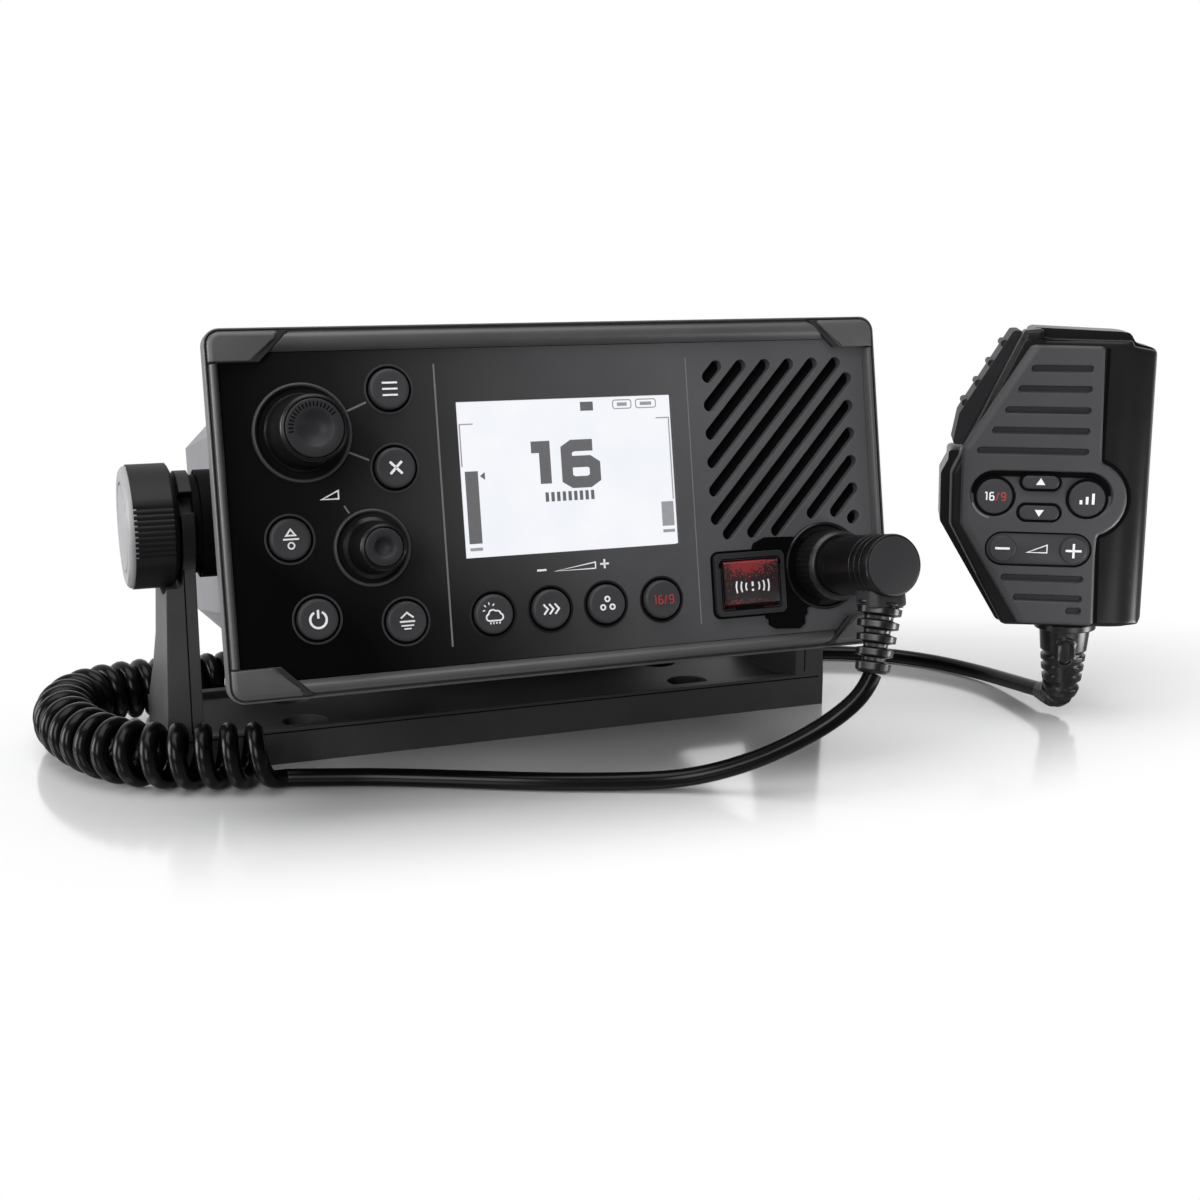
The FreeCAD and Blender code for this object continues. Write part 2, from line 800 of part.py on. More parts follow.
def makeRearSockets():
    x = "antennaX"
    z = "antennaZ"
    flange = box(
        (f"{x} - 12.5", f"{x} + 12.5"),
        ("caseBack + 0.05", "caseBack + 2"),
        (f"{z} - 12.5", f"{z} + 12.5"),
    )
    thread = rod("antennaThread", (x, "caseBack - 6", z), "antennaLength + 6")
    bore = rod("antennaBore", (x, "caseBack - 10", z), "30")
    screwHoles = [
        rod("1.6", (f"{x} + {9 * side}", "caseBack", f"{z} + {9 * level}"), "5")
        for side, level in corners.values()
    ]
    socket = cut(join(rounded(flange, "2", "y"), thread), bore, *screwHoles)
    subPart("antenna_socket", socket, radioFrame)
    gland = join(
        rod("7.5", ("-60", "caseBack + 0.05", "-16"), "3"),
        rod("5", ("-60", "caseBack - 6", "-16"), "12"),
        cone("5", "3.6", ("-60", "caseBack + 5.9", "-16"), "7"),
    )
    bore = rod("1.9", ("-60", "caseBack - 8", "-16"), "30")
    subPart("power_gland", cut(gland, bore), radioFrame)


def makeSocketAndPlug():
    x = "socketX"
    z = "socketZ"
    socket = cut(
        join(
            rod("socketRing", (x, "panelFront - 1.4", z), "1.35"),
            rod("barrelRadius + 1.9", (x, "panelFront - 0.2", z), "12"),
        ),
        rod("barrelRadius - 0.6", (x, "-4", z), "10"),
    )
    subPart("mic_socket", socket, radioFrame)
    end = "panelFront - plugProud - 2"
    stub = box(
        (f"{x} - stubWidth / 2", f"{x} + stubWidth / 2"),
        (f"({end}) + 2.2", f"({end}) + 2.2 + stubWidth"),
        ("-stubDown", z),
    )
    barrel = join(
        rod("barrelRadius - 0.8", (x, "-6", z), "11.6"),
        rod("barrelRadius", (x, "-11.6", z), "5.7"),
        rod("capRadius", (x, end, z), f"-11.5 - ({end})"),
        rounded(stub, "1.6", "z"),
    )
    subPart("plug_body", barrel, radioFrame)
    ring = cut(
        rod("ringRadius", (x, "panelFront - 1.5 - ringLength", z), "ringLength"),
        rod("barrelRadius + 0.15", (x, "-20", z), "30"),
    )
    subPart("plug_lock_ring", ring, radioFrame)
    boot = cone("plugBootTop + 0.2", "plugBootEnd", ("0", "0", "2"), "plugBootLength + 2", "down")
    leaning = group(boot)
    leaning.Placement = Placement(
        Vector(amount(x), amount(f"({end}) + 2.2 + stubWidth / 2"), -amount("stubDown")),
        Rotation(Vector(0, 1, 0), amount("plugBootLean")),
    )
    above = box(("50", "90"), ("-60", "0"), ("-stubDown - 0.02", "0"))
    subPart("plug_boot", cut(leaning, above), radioFrame)


# ---- bracket ----
def makeBracket():
    body = newBody("Bracket")
    base = sketchOn(body, "XY_Plane")
    polygon(base, rectangle("-armOuter", "armOuter", "bracketFront", "bracketBack"))
    pad(body, base, "baseHeight")
    arm = [
        ("bracketFront", "0"),
        ("bracketBack", "0"),
        ("bracketBack - 3", "baseHeight"),
        ("24", "24"),
        ("17", "34"),
        ("bossRadius - 0.1", "60"),
        ("0", "tiltHeight"),
        ("bracketFront", "60"),
    ]
    for side in (-1, 1):
        offset = "armInner" if side > 0 else "-armStep"
        plate = sketchOn(body, "YZ_Plane", offset)
        polygon(plate, arm)
        pad(body, plate, "armStep - armInner")
        band = sketchOn(body, "YZ_Plane", "armStep" if side > 0 else "-armOuter")
        polygon(band, arm)
        pad(body, band, "armOuter - armStep")
        boss = sketchOn(body, "YZ_Plane", offset)
        circle(boss, "0", "tiltHeight", "bossRadius")
        pad(body, boss, "armStep - armInner")
        recess = sketchOn(body, "YZ_Plane", "armStep" if side > 0 else "-armOuter")
        circle(recess, "0", "tiltHeight", "knobRecess")
        pocket(body, recess, "armOuter - armStep", backwards=True)
    tray = sketchOn(body, "XY_Plane", "baseHeight")
    depth = ("bracketFront + lipWidth", "bracketBack - lipWidth")
    polygon(tray, rectangle("-armInner", "armInner", *depth))
    pocket(body, tray, "trayDepth")
    screws = sketchOn(body, "XY_Plane", "baseHeight")
    for side in (-1, 1):
        for y in ("holeFront", "holeFront + holeSpacing"):
            circle(screws, f"{side} * holeX", y, "screwHole")
    pocket(body, screws, "baseHeight")
    seats = sketchOn(body, "XY_Plane", "baseHeight")
    for side in (-1, 1):
        for y in ("holeFront", "holeFront + holeSpacing"):
            circle(seats, f"{side} * holeX", y, "counterbore")
    pocket(body, seats, "trayDepth + counterDeep")
    studs = sketchOn(body, "YZ_Plane", "-armOuter - 1")
    circle(studs, "0", "tiltHeight", "studClear")
    pocket(body, studs, "2 * armOuter + 2", backwards=True)
    notch = doc.addObject("Part::Box", "Notch")
    bind(notch, "Length", "2 * armOuter + 2")
    bind(notch, "Width", "8")
    bind(notch, "Height", "notchWidth")
    notch.Placement = Placement(Vector(), Rotation(Vector(1, 0, 0), amount("notchAngle")))
    y = "10.5 * cos(notchAngle) + notchWidth / 2 * sin(notchAngle)"
    z = "tiltHeight + 10.5 * sin(notchAngle) - notchWidth / 2 * cos(notchAngle)"
    moveTo(notch, ("-armOuter - 1", y, z))
    slopes = [taperTool(side) for side in (-1, 1)]
    subPart("bracket", cut(body, notch, *slopes), rowFrame)


def taperTool(side):
    """What comes off an arm's outside above the base, so that the arm narrows upwards."""
    tool = doc.addObject("Part::Box", "Slope")
    bind(tool, "Length", "10")
    bind(tool, "Width", "80")
    bind(tool, "Height", "60")
    tool.Placement = Placement(Vector(), Rotation(Vector(0, 1, 0), -side * amount("armTaper")))
    if side > 0:
        moveTo(tool, ("armOuter", "-20", "baseHeight"))
    else:
        moveTo(tool, ("-armOuter - 10 * cos(armTaper)", "-20", "baseHeight + 10 * sin(armTaper)"))
    return tool


def makeWashers():
    washers = []
    for side in (-1, 1):
        start = "armInner - washerThick - 0.03" if side > 0 else "-armInner + 0.03"
        disc = rod("washerRadius", (start, "0", "tiltHeight"), "washerThick", "x")
        boreStart = f"{side} * armInner - 10"
        bore = rod("studClear", (boreStart, "0", "tiltHeight"), "20", "x")
        washers.append(cut(disc, bore))
    subPart("friction_washers", group(*washers), rowFrame)


def makeBracketKnob(label, side):
    """A clamping knob with grip flats between ribbed bands, a ring groove and a steel stud."""
    inner, outer = "knobInner", "knobOuter"
    length = f"{outer} - {inner}"
    start = inner if side > 0 else f"-({outer})"
    wheel = rod("knobRadius", (start, "0", "0"), length, "x")
    flats = []
    for step in range(3):
        cheek = doc.addObject("Part::Box", "Cheek")
        bind(cheek, "Length", f"{length} + 2")
        bind(cheek, "Width", "20")
        bind(cheek, "Height", "10")
        middle = math.radians(120 * step + 117)
        reach = amount("knobRadius") * 0.965
        spot = Vector(
            amount(start) - 1,
            reach * math.cos(middle) - 10 * math.sin(middle),
            reach * math.sin(middle) + 10 * math.cos(middle),
        )
        cheek.Placement = Placement(spot, Rotation(Vector(1, 0, 0), 120 * step + 27))
        flats.append(cheek)
    grooves = []
    for third in range(3):
        for rib in range(-4, 5):
            angle = 120 * third + 57 + 5.2 * rib
            y = f"knobRadius * cos({angle})"
            z = f"knobRadius * sin({angle})"
            grooves.append(rod("0.45", (f"{start} - 1", y, z), f"{length} + 2", "x"))
    faceX = f"{outer} - 0.8" if side > 0 else f"-({outer}) - 1"
    groove = cut(
        rod("knobRadius - 3.4", (faceX, "0", "0"), "1.8", "x"),
        rod("knobRadius - 4.4", (f"{faceX} - 1", "0", "0"), "5", "x"),
    )
    studStart = "83.5" if side > 0 else f"-({inner}) - 1"
    stud = rod("studRadius", (studStart, "0", "0"), f"{inner} + 1 - 83.5", "x")
    hub = join(cut(wheel, *flats, *grooves, groove), stud)
    subPart(label, hub, Placement(Vector(0, 0, amount("tiltHeight")), Rotation()))


# ---- handset ----
rearOutline = [
    (-20.5, 29.5), (-38.5, 59.5), (-38.8, 74), (-36.8, 78), (-36.8, 81), (-27.4, 81),
    (-12, 111.4), (-17, 117), (12.8, 115.7), (14.6, 112.6), (20.6, 111), (21, 30),
]
rearRoom = [
    (-18.6, 33.9), (-34.1, 60.9), (-34.4, 73.9), (-25, 80), (-11, 108), (17, 106), (17.4, 34),
]
frontOutline = [
    (-19.5, 29.9), (-36, 59.8), (-36.3, 75), (-33.4, 81.6), (-19.2, 112.2), (-17.2, 116.4),
    (-12, 116.8), (-11.5, 114), (12.8, 113.6), (13.6, 111.9), (20.4, 110.6), (20.8, 30.4),
]
frontRoom = [(-16, 34), (-32, 60), (-32, 76), (-15.5, 109), (16.5, 108), (17, 34)]
faceOutline = [
    (-15.1, 31), (-33, 59.9), (-33.3, 82.6), (-15.2, 112.4), (5, 112.1), (6, 79),
    (12.6, 73.4), (13.6, 68.3), (12.4, 62.6), (6.3, 57.6), (5.8, 52), (6.4, 31),
]
pttOutline = [(-35.8, 82.4), (-34.2, 91.6), (-19.8, 115.8), (-17.6, 115.9), (-14.9, 112), (-30.4, 82.4)]


def slab(name, outline, front, back, cornerSize, edgeFace=None, edgeSize=None):
    """A body between two distances towards the front, with rounded corners and one rounded face."""
    body = newBody(name)
    sketch = sketchOn(body, "XZ_Plane", back)
    polygon(sketch, outline)
    pad(body, sketch, f"({front}) - ({back})")
    dress(body, "PartDesign::Fillet", cornerSize, runsAlong("y"))
    if edgeFace:
        dress(body, "PartDesign::Fillet", edgeSize, liesAt("y", f"-({edgeFace})"))
    return body


handsetKeys = {
    "handset_key_16": (-23.5, 68.6, 5.2, 0),
    "handset_key_power": (2.6, 68.4, 5.2, 0),
    "channel_up_key": (-10.7, 73, 1.9, 3.4),
    "channel_down_key": (-10.7, 64.1, 2.1, 3.6),
    "volume_down_key": (-20.5, 53.4, 3.9, 0),
    "volume_up_key": (-0.4, 53.2, 3.9, 0),
}


def pill(x, z, radius, half, front, back):
    """A round or long-round peg that points to the front."""
    length = f"({front}) - ({back})"
    y = f"-({front})"
    if half == 0:
        return rod(radius, (x, y, z), length)
    ends = [rod(radius, (f"{x} + {side * half}", y, z), length) for side in (-1, 1)]
    height = (f"{z} - ({radius})", f"{z} + ({radius})")
    return join(*ends, box((f"{x} - {half}", f"{x} + {half}"), (y, f"-({back})"), height))


def makeHandsetShells():
    rear = slab("RearShell", rearOutline, "shellSplit - 0.15", "-shellBack", "1.2", "-shellBack", "2.6")
    rearHollow = slab("RearHollow", rearRoom, "shellSplit + 1", "-shellBack + shellWall", "0.8")
    studHole = rod("studNeck - 1.5", ("-8", "5", "84"), "20")
    subPart("handset_rear_shell", cut(rear, rearHollow, studHole), handsetFrame)
    front = slab("FrontShell", frontOutline, "shellFront", "shellSplit + 0.15", "1.2", "shellFront", "1.4")
    frontHollow = slab("FrontHollow", frontRoom, "shellFront - shellWall", "shellSplit - 1", "0.8")
    keyHoles = [
        pill(x, z, f"{radius} + 0.3", half, "shellFront + 3", "shellSplit - 3")
        for x, z, radius, half in handsetKeys.values()
    ]
    soundHole = rod("9", ("-9", "-shellFront - 1", "94"), "8")
    micHole = rod("1.5", ("0", "-shellFront - 1", "38.8"), "8")
    shell = cut(front, frontHollow, *keyHoles, soundHole, micHole)
    subPart("handset_front_shell", shell, handsetFrame)


def faceSlot(z, left, right):
    half = (right - left) / 2 - 0.95
    return pill((left + right) / 2, z, 0.95, half, "facePlane + 1", "shellFront - 1")


def makeHandsetFace():
    plate = slab("FacePlate", faceOutline, "facePlane", "shellFront + 0.05", "0.8", "facePlane", "0.6")
    upper = [(105.7, -15), (99.9, -18.3), (93.8, -21.7), (87.9, -25.1), (82, -29)]
    lower = [(44.7, -20.6), (38.8, -16.8), (35.2, -1.6)]
    slots = [faceSlot(z, left, 2.2) for z, left in upper]
    slots += [faceSlot(z, left, 2.8) for z, left in lower]
    keyHoles = [
        pill(x, z, f"{radius} + 0.45", half, "facePlane + 1", "shellFront - 1")
        for x, z, radius, half in handsetKeys.values()
    ]
    volumeBed = pill(-10.4, 53.3, 4.75, 10.3, "facePlane + 1", "facePlane - 0.5")
    subPart("handset_face", cut(plate, *slots, *keyHoles, volumeBed), handsetFrame)


def makeHandsetKeys():
    for label, (x, z, radius, half) in handsetKeys.items():
        inside = "shellFront - shellWall"
        flange = pill(x, z, f"{radius} + 0.9", half, f"{inside} - 0.1", f"{inside} - 1.3")
        peg = pill(x, z, radius, half, "facePlane + buttonProud", f"{inside} - 0.8")
        subPart(label, join(peg, flange), handsetFrame)


def makePttKey():
    body = slab("PttBody", pttOutline, "shellSplit - 0.6", "-shellBack + 1.5", "0.9")
    nubs = [
        rod("1.1", (f"-34.2 + 14.4 * {share}", "-shellSplit + 2.6", f"91.6 + 24.2 * {share}"), "13.6")
        for share in (0.12, 0.36, 0.6, 0.84)
    ]
    subPart("ptt_key", join(body, *nubs), handsetFrame)


def makeHandsetInside():
    board = box(("-15", "15"), ("1.4", "3"), ("36", "79"))
    subPart("handset_board", board, handsetFrame)
    diaphragm = rod("12.5", ("-8", "-shellFront + shellWall + 0.2", "94"), "3.4")
    magnet = rod("7", ("-8", "-6.5", "94"), "6")
    subPart("handset_speaker", join(diaphragm, magnet), handsetFrame)
    subPart("mic_capsule", rod("3", ("0", "-shellFront + shellWall + 0.2", "38.8"), "4"), handsetFrame)
    stud = join(
        rod("studNeck - 1.6", ("-8", "8.5", "84"), "9"),
        rod("studNeck", ("-8", "shellBack + 0.05", "84"), "4.2"),
        rod("studHead", ("-8", "shellBack + 4.2", "84"), "2.6"),
    )
    subPart("hang_stud", stud, handsetFrame)
    screws = []
    for x, z in ((-31, 64), (16, 100), (16, 40)):
        head = rod("2.3", (x, "shellBack + 0.05", z), "1.5")
        screws.append(cut(head, rod("1", (x, "shellBack + 0.8", z), "2")))
    subPart("handset_screws", group(*screws), handsetFrame)


def makeHandsetBoot():
    """The strain relief: a flange, a tapering neck, and a quarter bend along the floor."""
    bendTop = "bootAxis + bootBend"
    flange = rod("bootTop + 1.8", ("0", "0", "27.6"), "1.8", "z")
    neck = cone("bootEnd", "bootTop", ("0", "0", bendTop), f"27.7 - ({bendTop})", "z")
    bend = doc.addObject("Part::Torus", "Bend")
    bind(bend, "Radius1", "bootBend")
    bind(bend, "Radius2", "bootEnd")
    bend.Angle3 = 90
    turn = Rotation(Vector(0, -1, 0), Vector(0, 0, -1), Vector(1, 0, 0), "XYZ")
    bend.Placement = Placement(Vector(), turn)
    moveTo(bend, ("0", "bootBend", bendTop))
    tip = cone("bootEnd", "bootEnd - 0.9", ("0", "bootBend", "bootAxis"), "bootTip")
    unturned = Placement(handsetFrame.Base, Rotation())
    subPart("handset_boot", join(flange, neck, bend, tip), unturned)


# ---- cord ----
def smoothPath(points):
    """Straight runs joined by tangent arcs: each arc takes 0.45 of its shorter run at both ends."""
    knots = [Vector(*point) for point in points]
    edges = []
    radii = []
    last = knots[0]
    for before, corner, after in zip(knots, knots[1:], knots[2:]):
        back = before - corner
        ahead = after - corner
        trim = 0.45 * min(back.Length, ahead.Length)
        back.normalize()
        ahead.normalize()
        half = (math.pi - back.getAngle(ahead)) / 2
        radius = trim / math.tan(half)
        radii.append(radius)
        start = corner + back * trim
        end = corner + ahead * trim
        inward = (back + ahead).normalize()
        middle = corner + inward * (radius / math.cos(half) - radius)
        edges.append(Part.LineSegment(last, start).toShape())
        edges.append(Part.Arc(start, middle, end).toShape())
        last = end
    edges.append(Part.LineSegment(last, knots[-1]).toShape())
    return Part.Wire(edges), radii


def tube(label, points, radius):
    """A round tube along a smooth path, checked against its section times its length."""
    path, radii = smoothPath(points)
    start = Vector(*points[0])
    heading = Vector(*points[1]) - start
    ring = Part.Wire([Part.Circle(start, heading, amount(radius)).toShape()])
    solid = path.makePipeShell([ring], True, False)
    expected = math.pi * amount(radius) ** 2 * path.Length
    print(
        f"{label}: length {path.Length:.1f}, radii {min(radii):.1f} to {max(radii):.1f}, "
        f"volume ratio {solid.Volume / expected:.4f}"
    )
    feature = doc.addObject("Part::Feature", "Tube")
    feature.Shape = solid
    subPart(label, feature, rowFrame)


frontLeadRoute = [
    (67.6, -92.7, 33.2), (65.4, -93.4, 28.9), (58.4, -91.6, 22.2), (49.4, -86.9, 15.4), (38.3, -79.8, 8.5),
    (25, -71.3, 3.4), (8.5, -64.2, 2.5), (-10.6, -56.6, 2.5), (-30, -46.8, 2.5), (-48.6, -37.8, 2.5),
    (-60.5, -33.6, 2.5), (-71.5, -30, 2.6),
]
coilRoute = [
    (-71.8, -29.9), (-93.6, -24.1), (-111, -14.6), (-120.5, 4.2), (-124.9, 25.6), (-119.7, 45.5),
    (-102.5, 52.5), (-82, 51.2), (-58, 53.3), (-32, 51.8), (-8, 52.6),
]
rearLeadRoute = [
    (-7.7, 52.6, 2.6), (14, 51.4, 2.5), (38, 53.4, 2.5), (62, 51.6, 2.5), (86, 50, 2.5), (108, 45.5, 2.5),
    (128, 38.6, 2.5), (145.5, 28.4, 2.5), (156.5, 12.5, 2.5), (161.8, -4.5, 2.6), (162.3, -20.5, 3.6),
    (161.4, -35.8, 5),
]


def makeCord():
    tube("cord_front_lead", frontLeadRoute, "cordRadius")
    tube("cord_coil", [(x, y, amount("coilHeight")) for x, y in coilRoute], "coilRadius")
    tube("cord_rear_lead", rearLeadRoute, "cordRadius")


makeCornerCaps()
makeFrontBezel()
makeFacePanel()
makeScreen()
makeKeys()
makeKnob("channel_knob", "channelX", "channelZ", "channelSkirt", "channelFront", "channelProud")
makeKnob("volume_knob", "volumeX", "volumeZ", "volumeSkirt", "volumeFront", "volumeProud")
makeEncoders()
makeDistress()
makeSpeaker()
makeBoards()
makeRearCase()
makeTiltHubs()
makeCaseScrews()
makeRearSockets()
makeSocketAndPlug()
makeBracket()
makeWashers()
makeBracketKnob("left_bracket_knob", -1)
makeBracketKnob("right_bracket_knob", 1)
makeHandsetShells()
makeHandsetFace()
makeHandsetKeys()
makePttKey()
makeHandsetInside()
makeHandsetBoot()
makeCord()

# ---- check and export ----
doc.recompute()
for item in doc.Objects:
    if "Invalid" in item.State or "Error" in item.State:
        raise RuntimeError(f"{item.Label} failed: {item.State}")
for item in subParts:
    if item.Shape.isNull() or not item.Shape.isValid():
        raise RuntimeError(f"{item.Label} has no valid shape")
os.makedirs("parts", exist_ok=True)
for item in subParts:
    item.Shape.exportStep(f"parts/{item.Label}.step")
print(f"{len(subParts)} sub-parts written")
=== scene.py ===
import math

import bpy
import numpy as np
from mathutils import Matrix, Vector


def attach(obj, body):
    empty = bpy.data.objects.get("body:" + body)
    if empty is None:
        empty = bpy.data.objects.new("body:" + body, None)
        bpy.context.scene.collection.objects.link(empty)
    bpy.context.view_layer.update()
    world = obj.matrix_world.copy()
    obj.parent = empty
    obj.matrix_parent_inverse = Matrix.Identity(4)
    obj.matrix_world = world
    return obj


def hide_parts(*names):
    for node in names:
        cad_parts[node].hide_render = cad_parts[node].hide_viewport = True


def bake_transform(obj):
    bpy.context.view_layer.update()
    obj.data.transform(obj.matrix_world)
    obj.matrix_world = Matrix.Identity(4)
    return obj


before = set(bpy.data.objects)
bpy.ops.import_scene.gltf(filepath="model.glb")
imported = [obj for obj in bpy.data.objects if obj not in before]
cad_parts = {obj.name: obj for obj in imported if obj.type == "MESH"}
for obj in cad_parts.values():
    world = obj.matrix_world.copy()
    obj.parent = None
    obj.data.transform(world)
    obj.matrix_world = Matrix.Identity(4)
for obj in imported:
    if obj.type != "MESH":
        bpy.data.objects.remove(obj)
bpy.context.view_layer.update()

# A marine radio in its tilting bracket, with a fist microphone on a coiled cord.
# Shapes are worked out in millimetres in the radio's or the microphone's own frame, then put in place.

tau = 2 * math.pi

# ---- places ----
stand = {
    "tilt": 10.4, "tiltHeight": 66.9, "tiltDepth": 58.0, "handset": (161.4, -46.4), "handsetTurn": -31.0,
}


def placeMatrix(base, tiltBack=0.0, turn=0.0):  # tilted back about X or turned about Z, in degrees
    a, b = math.radians(-tiltBack), math.radians(turn)
    aboutX = np.array([[1, 0, 0], [0, math.cos(a), -math.sin(a)], [0, math.sin(a), math.cos(a)]])
    aboutZ = np.array([[math.cos(b), -math.sin(b), 0], [math.sin(b), math.cos(b), 0], [0, 0, 1]])
    return aboutZ @ aboutX, np.array(base, float)


tilt = math.radians(stand["tilt"])
depth = stand["tiltDepth"]
radioBase = (0, -depth * math.cos(tilt), stand["tiltHeight"] + depth * math.sin(tilt))
radioPlace = placeMatrix(radioBase, tiltBack=stand["tilt"])
handsetPlace = placeMatrix((*stand["handset"], 0), turn=stand["handsetTurn"])
rowPlace = placeMatrix((0, 0, 0))


def toRow(points, place):  # millimetres in a part's frame to metres in the row's
    turn, base = place
    return (np.asarray(points, float) @ turn.T + base) / 1000


# ---- camera ----
view = {"azimuth": -21.16, "elevation": 12.31, "lens": 49.08, "at": (-0.1433, -0.44465, 0.1407)}


def addCamera():
    camera = bpy.data.cameras.new("camera")
    camera.lens = view["lens"]
    camera.sensor_width = 36
    camera.clip_start = 0.01
    holder = bpy.data.objects.new("camera", camera)
    holder.location = view["at"]
    holder.rotation_euler = (math.radians(90 - view["elevation"]), 0, math.radians(view["azimuth"]))
    bpy.context.collection.objects.link(holder)
    bpy.context.scene.camera = holder


addCamera()
print("camera placed")


# ---- surfaces ----
def surface(grid, rowsWrap=False):
    # quads between neighbouring rows and columns; columns always close, ends are shut by one polygon each
    rows, columns = grid.shape[:2]
    index = np.arange(rows * columns).reshape(rows, columns)
    around = np.hstack([index, index[:, :1]])
    if rowsWrap:
        around = np.vstack([around, around[:1]])
    quads = np.stack([around[:-1, :-1], around[:-1, 1:], around[1:, 1:], around[1:, :-1]], -1).reshape(-1, 4)
    faces = quads.tolist()
    if not rowsWrap:
        faces += [index[0][::-1].tolist(), index[-1].tolist()]
    return outward(grid.reshape(-1, 3), faces)


def outward(points, faces):
    # the signed volume under all faces is positive when they point outwards
    volume = 0.0
    for corners in {len(face) for face in faces}:
        group = points[np.array([face for face in faces if len(face) == corners])]
        first = group[:, :1]
        cross = np.cross(group[:, 1:-1] - first, group[:, 2:] - first)
        volume += (cross * first).sum()
    return points, ([face[::-1] for face in faces] if volume < 0 else faces)


def together(parts):
    start = 0
    points, faces = [], []
    for some, theirs in parts:
        points.append(some)
        faces += [[corner + start for corner in face] for face in theirs]
        start += len(some)
    return np.vstack(points), faces


def ease(value, low, high):  # 0 below low, 1 above high, smooth between
    share = np.clip((value - low) / (high - low), 0, 1)
    return share * share * (3 - 2 * share)


def arc(centre, radius, start, end, count=24):  # angles in degrees
    turn = np.radians(np.linspace(start, end, count))
    return np.stack([centre[0] + radius * np.cos(turn), centre[1] + radius * np.sin(turn)], -1)


def circle(radius, count=64, centre=(0, 0)):
    return arc(centre, radius, 0, 360 - 360 / count, count)


def rectangle(left, right, low, high):
    return [(left, low), (right, low), (right, high), (left, high)]


def roundCorners(corners, radius, steps=6):
    # each corner becomes an arc that touches both of its sides
    corners = np.asarray(corners, float)
    radius = np.broadcast_to(radius, len(corners))
    arcs = []
    for here, before, after, size in zip(corners, np.roll(corners, 1, 0), np.roll(corners, -1, 0), radius):
        u, v = before - here, after - here
        longest = 0.48 * min(np.linalg.norm(u), np.linalg.norm(v))
        u, v = u / np.linalg.norm(u), v / np.linalg.norm(v)
        half = math.acos(np.clip(u @ v, -1, 1)) / 2
        trim = min(size / math.tan(half), longest)
        centre = here + (u + v) / np.linalg.norm(u + v) * trim / math.cos(half)
        start, end = here + u * trim - centre, here + v * trim - centre
        sweep = math.pi - 2 * half
        share = np.linspace(0, 1, steps)[:, None]
        between = np.sin((1 - share) * sweep) * start + np.sin(share * sweep) * end
        arcs.append(centre + between / math.sin(sweep))
    return np.vstack(arcs)


def inwards(outline):
    # unit normals that point to the outline's inside
    along = np.roll(outline, -1, 0) - np.roll(outline, 1, 0)
    along /= np.linalg.norm(along, axis=1, keepdims=True)
    x, z = outline.T
    area = (x * np.roll(z, -1) - z * np.roll(x, -1)).sum()
    return np.stack([-along[:, 1], along[:, 0]], -1) * np.sign(area)


def flatRow(outline, depth, inset=0.0):  # an outline at one depth: point = outline + inset x inward normal
    outline = np.asarray(outline, float)
    if inset:
        outline = outline + inset * inwards(outline)
    return np.insert(outline, 1, depth, axis=1)


def stack(outline, levels):  # an outline carried back through levels of (depth, inset)
    return surface(np.array([flatRow(outline, *level) for level in levels]))


def prism(corners, front, back):
    return stack(corners, [(front,), (back,)])


def turned(profile, centre=(0, 0), count=64, ripple=None, rowsWrap=False):
    # a profile of (radius, depth) carried round a centre: x = r cos a, z = r sin a, with r rippled by angle
    profile = np.asarray(profile, float)
    angle = np.arange(count) / count * tau
    radius = profile[:, :1] * np.ones(count)
    if ripple is not None:
        radius = radius + ripple(angle[None, :], profile[:, :1], profile[:, 1:])
    depth = np.broadcast_to(profile[:, 1:], radius.shape)
    x = centre[0] + radius * np.cos(angle)
    z = centre[1] + radius * np.sin(angle)
    return surface(np.stack([x, depth, z], -1), rowsWrap)


def stroke(path, width, front, back, closed=False):
    # a flat ribbon along a path in the face's plane, mitred at its corners, between two depths
    path = np.asarray(path, float)
    before = path - np.roll(path, 1, 0)
    after = np.roll(path, -1, 0) - path
    if not closed:
        before[0], after[-1] = after[0], before[-1]
    before /= np.linalg.norm(before, axis=1, keepdims=True)
    after /= np.linalg.norm(after, axis=1, keepdims=True)
    middle = before + after
    middle /= np.linalg.norm(middle, axis=1, keepdims=True)
    reach = np.clip((middle * after).sum(1, keepdims=True), 0.35, 1)
    side = np.stack([-middle[:, 1], middle[:, 0]], -1) / reach * width / 2
    corners = [(path + side, front), (path - side, front), (path - side, back), (path + side, back)]
    return surface(np.stack([flatRow(*corner) for corner in corners], 1), closed)


def strokes(lines, front, back, at=(0, 0)):  # lines of (path, width), with True after where they close
    return [stroke(np.add(path, at), width, front, back, *closed) for path, width, *closed in lines]


def tube(path, radius, guide, sides):
    # circles square to the path: point = path + r (cos a x side + sin a x lift), side = guide x heading
    heading = np.gradient(path, axis=0)
    heading /= np.linalg.norm(heading, axis=1, keepdims=True)
    side = np.cross(guide, heading)
    side /= np.linalg.norm(side, axis=1, keepdims=True)
    lift = np.cross(heading, side)
    angle = np.arange(sides)[:, None] / sides * tau
    ring = side[:, None] * np.cos(angle) + lift[:, None] * np.sin(angle)
    return surface(path[:, None] + np.atleast_2d(radius)[..., None] * ring)


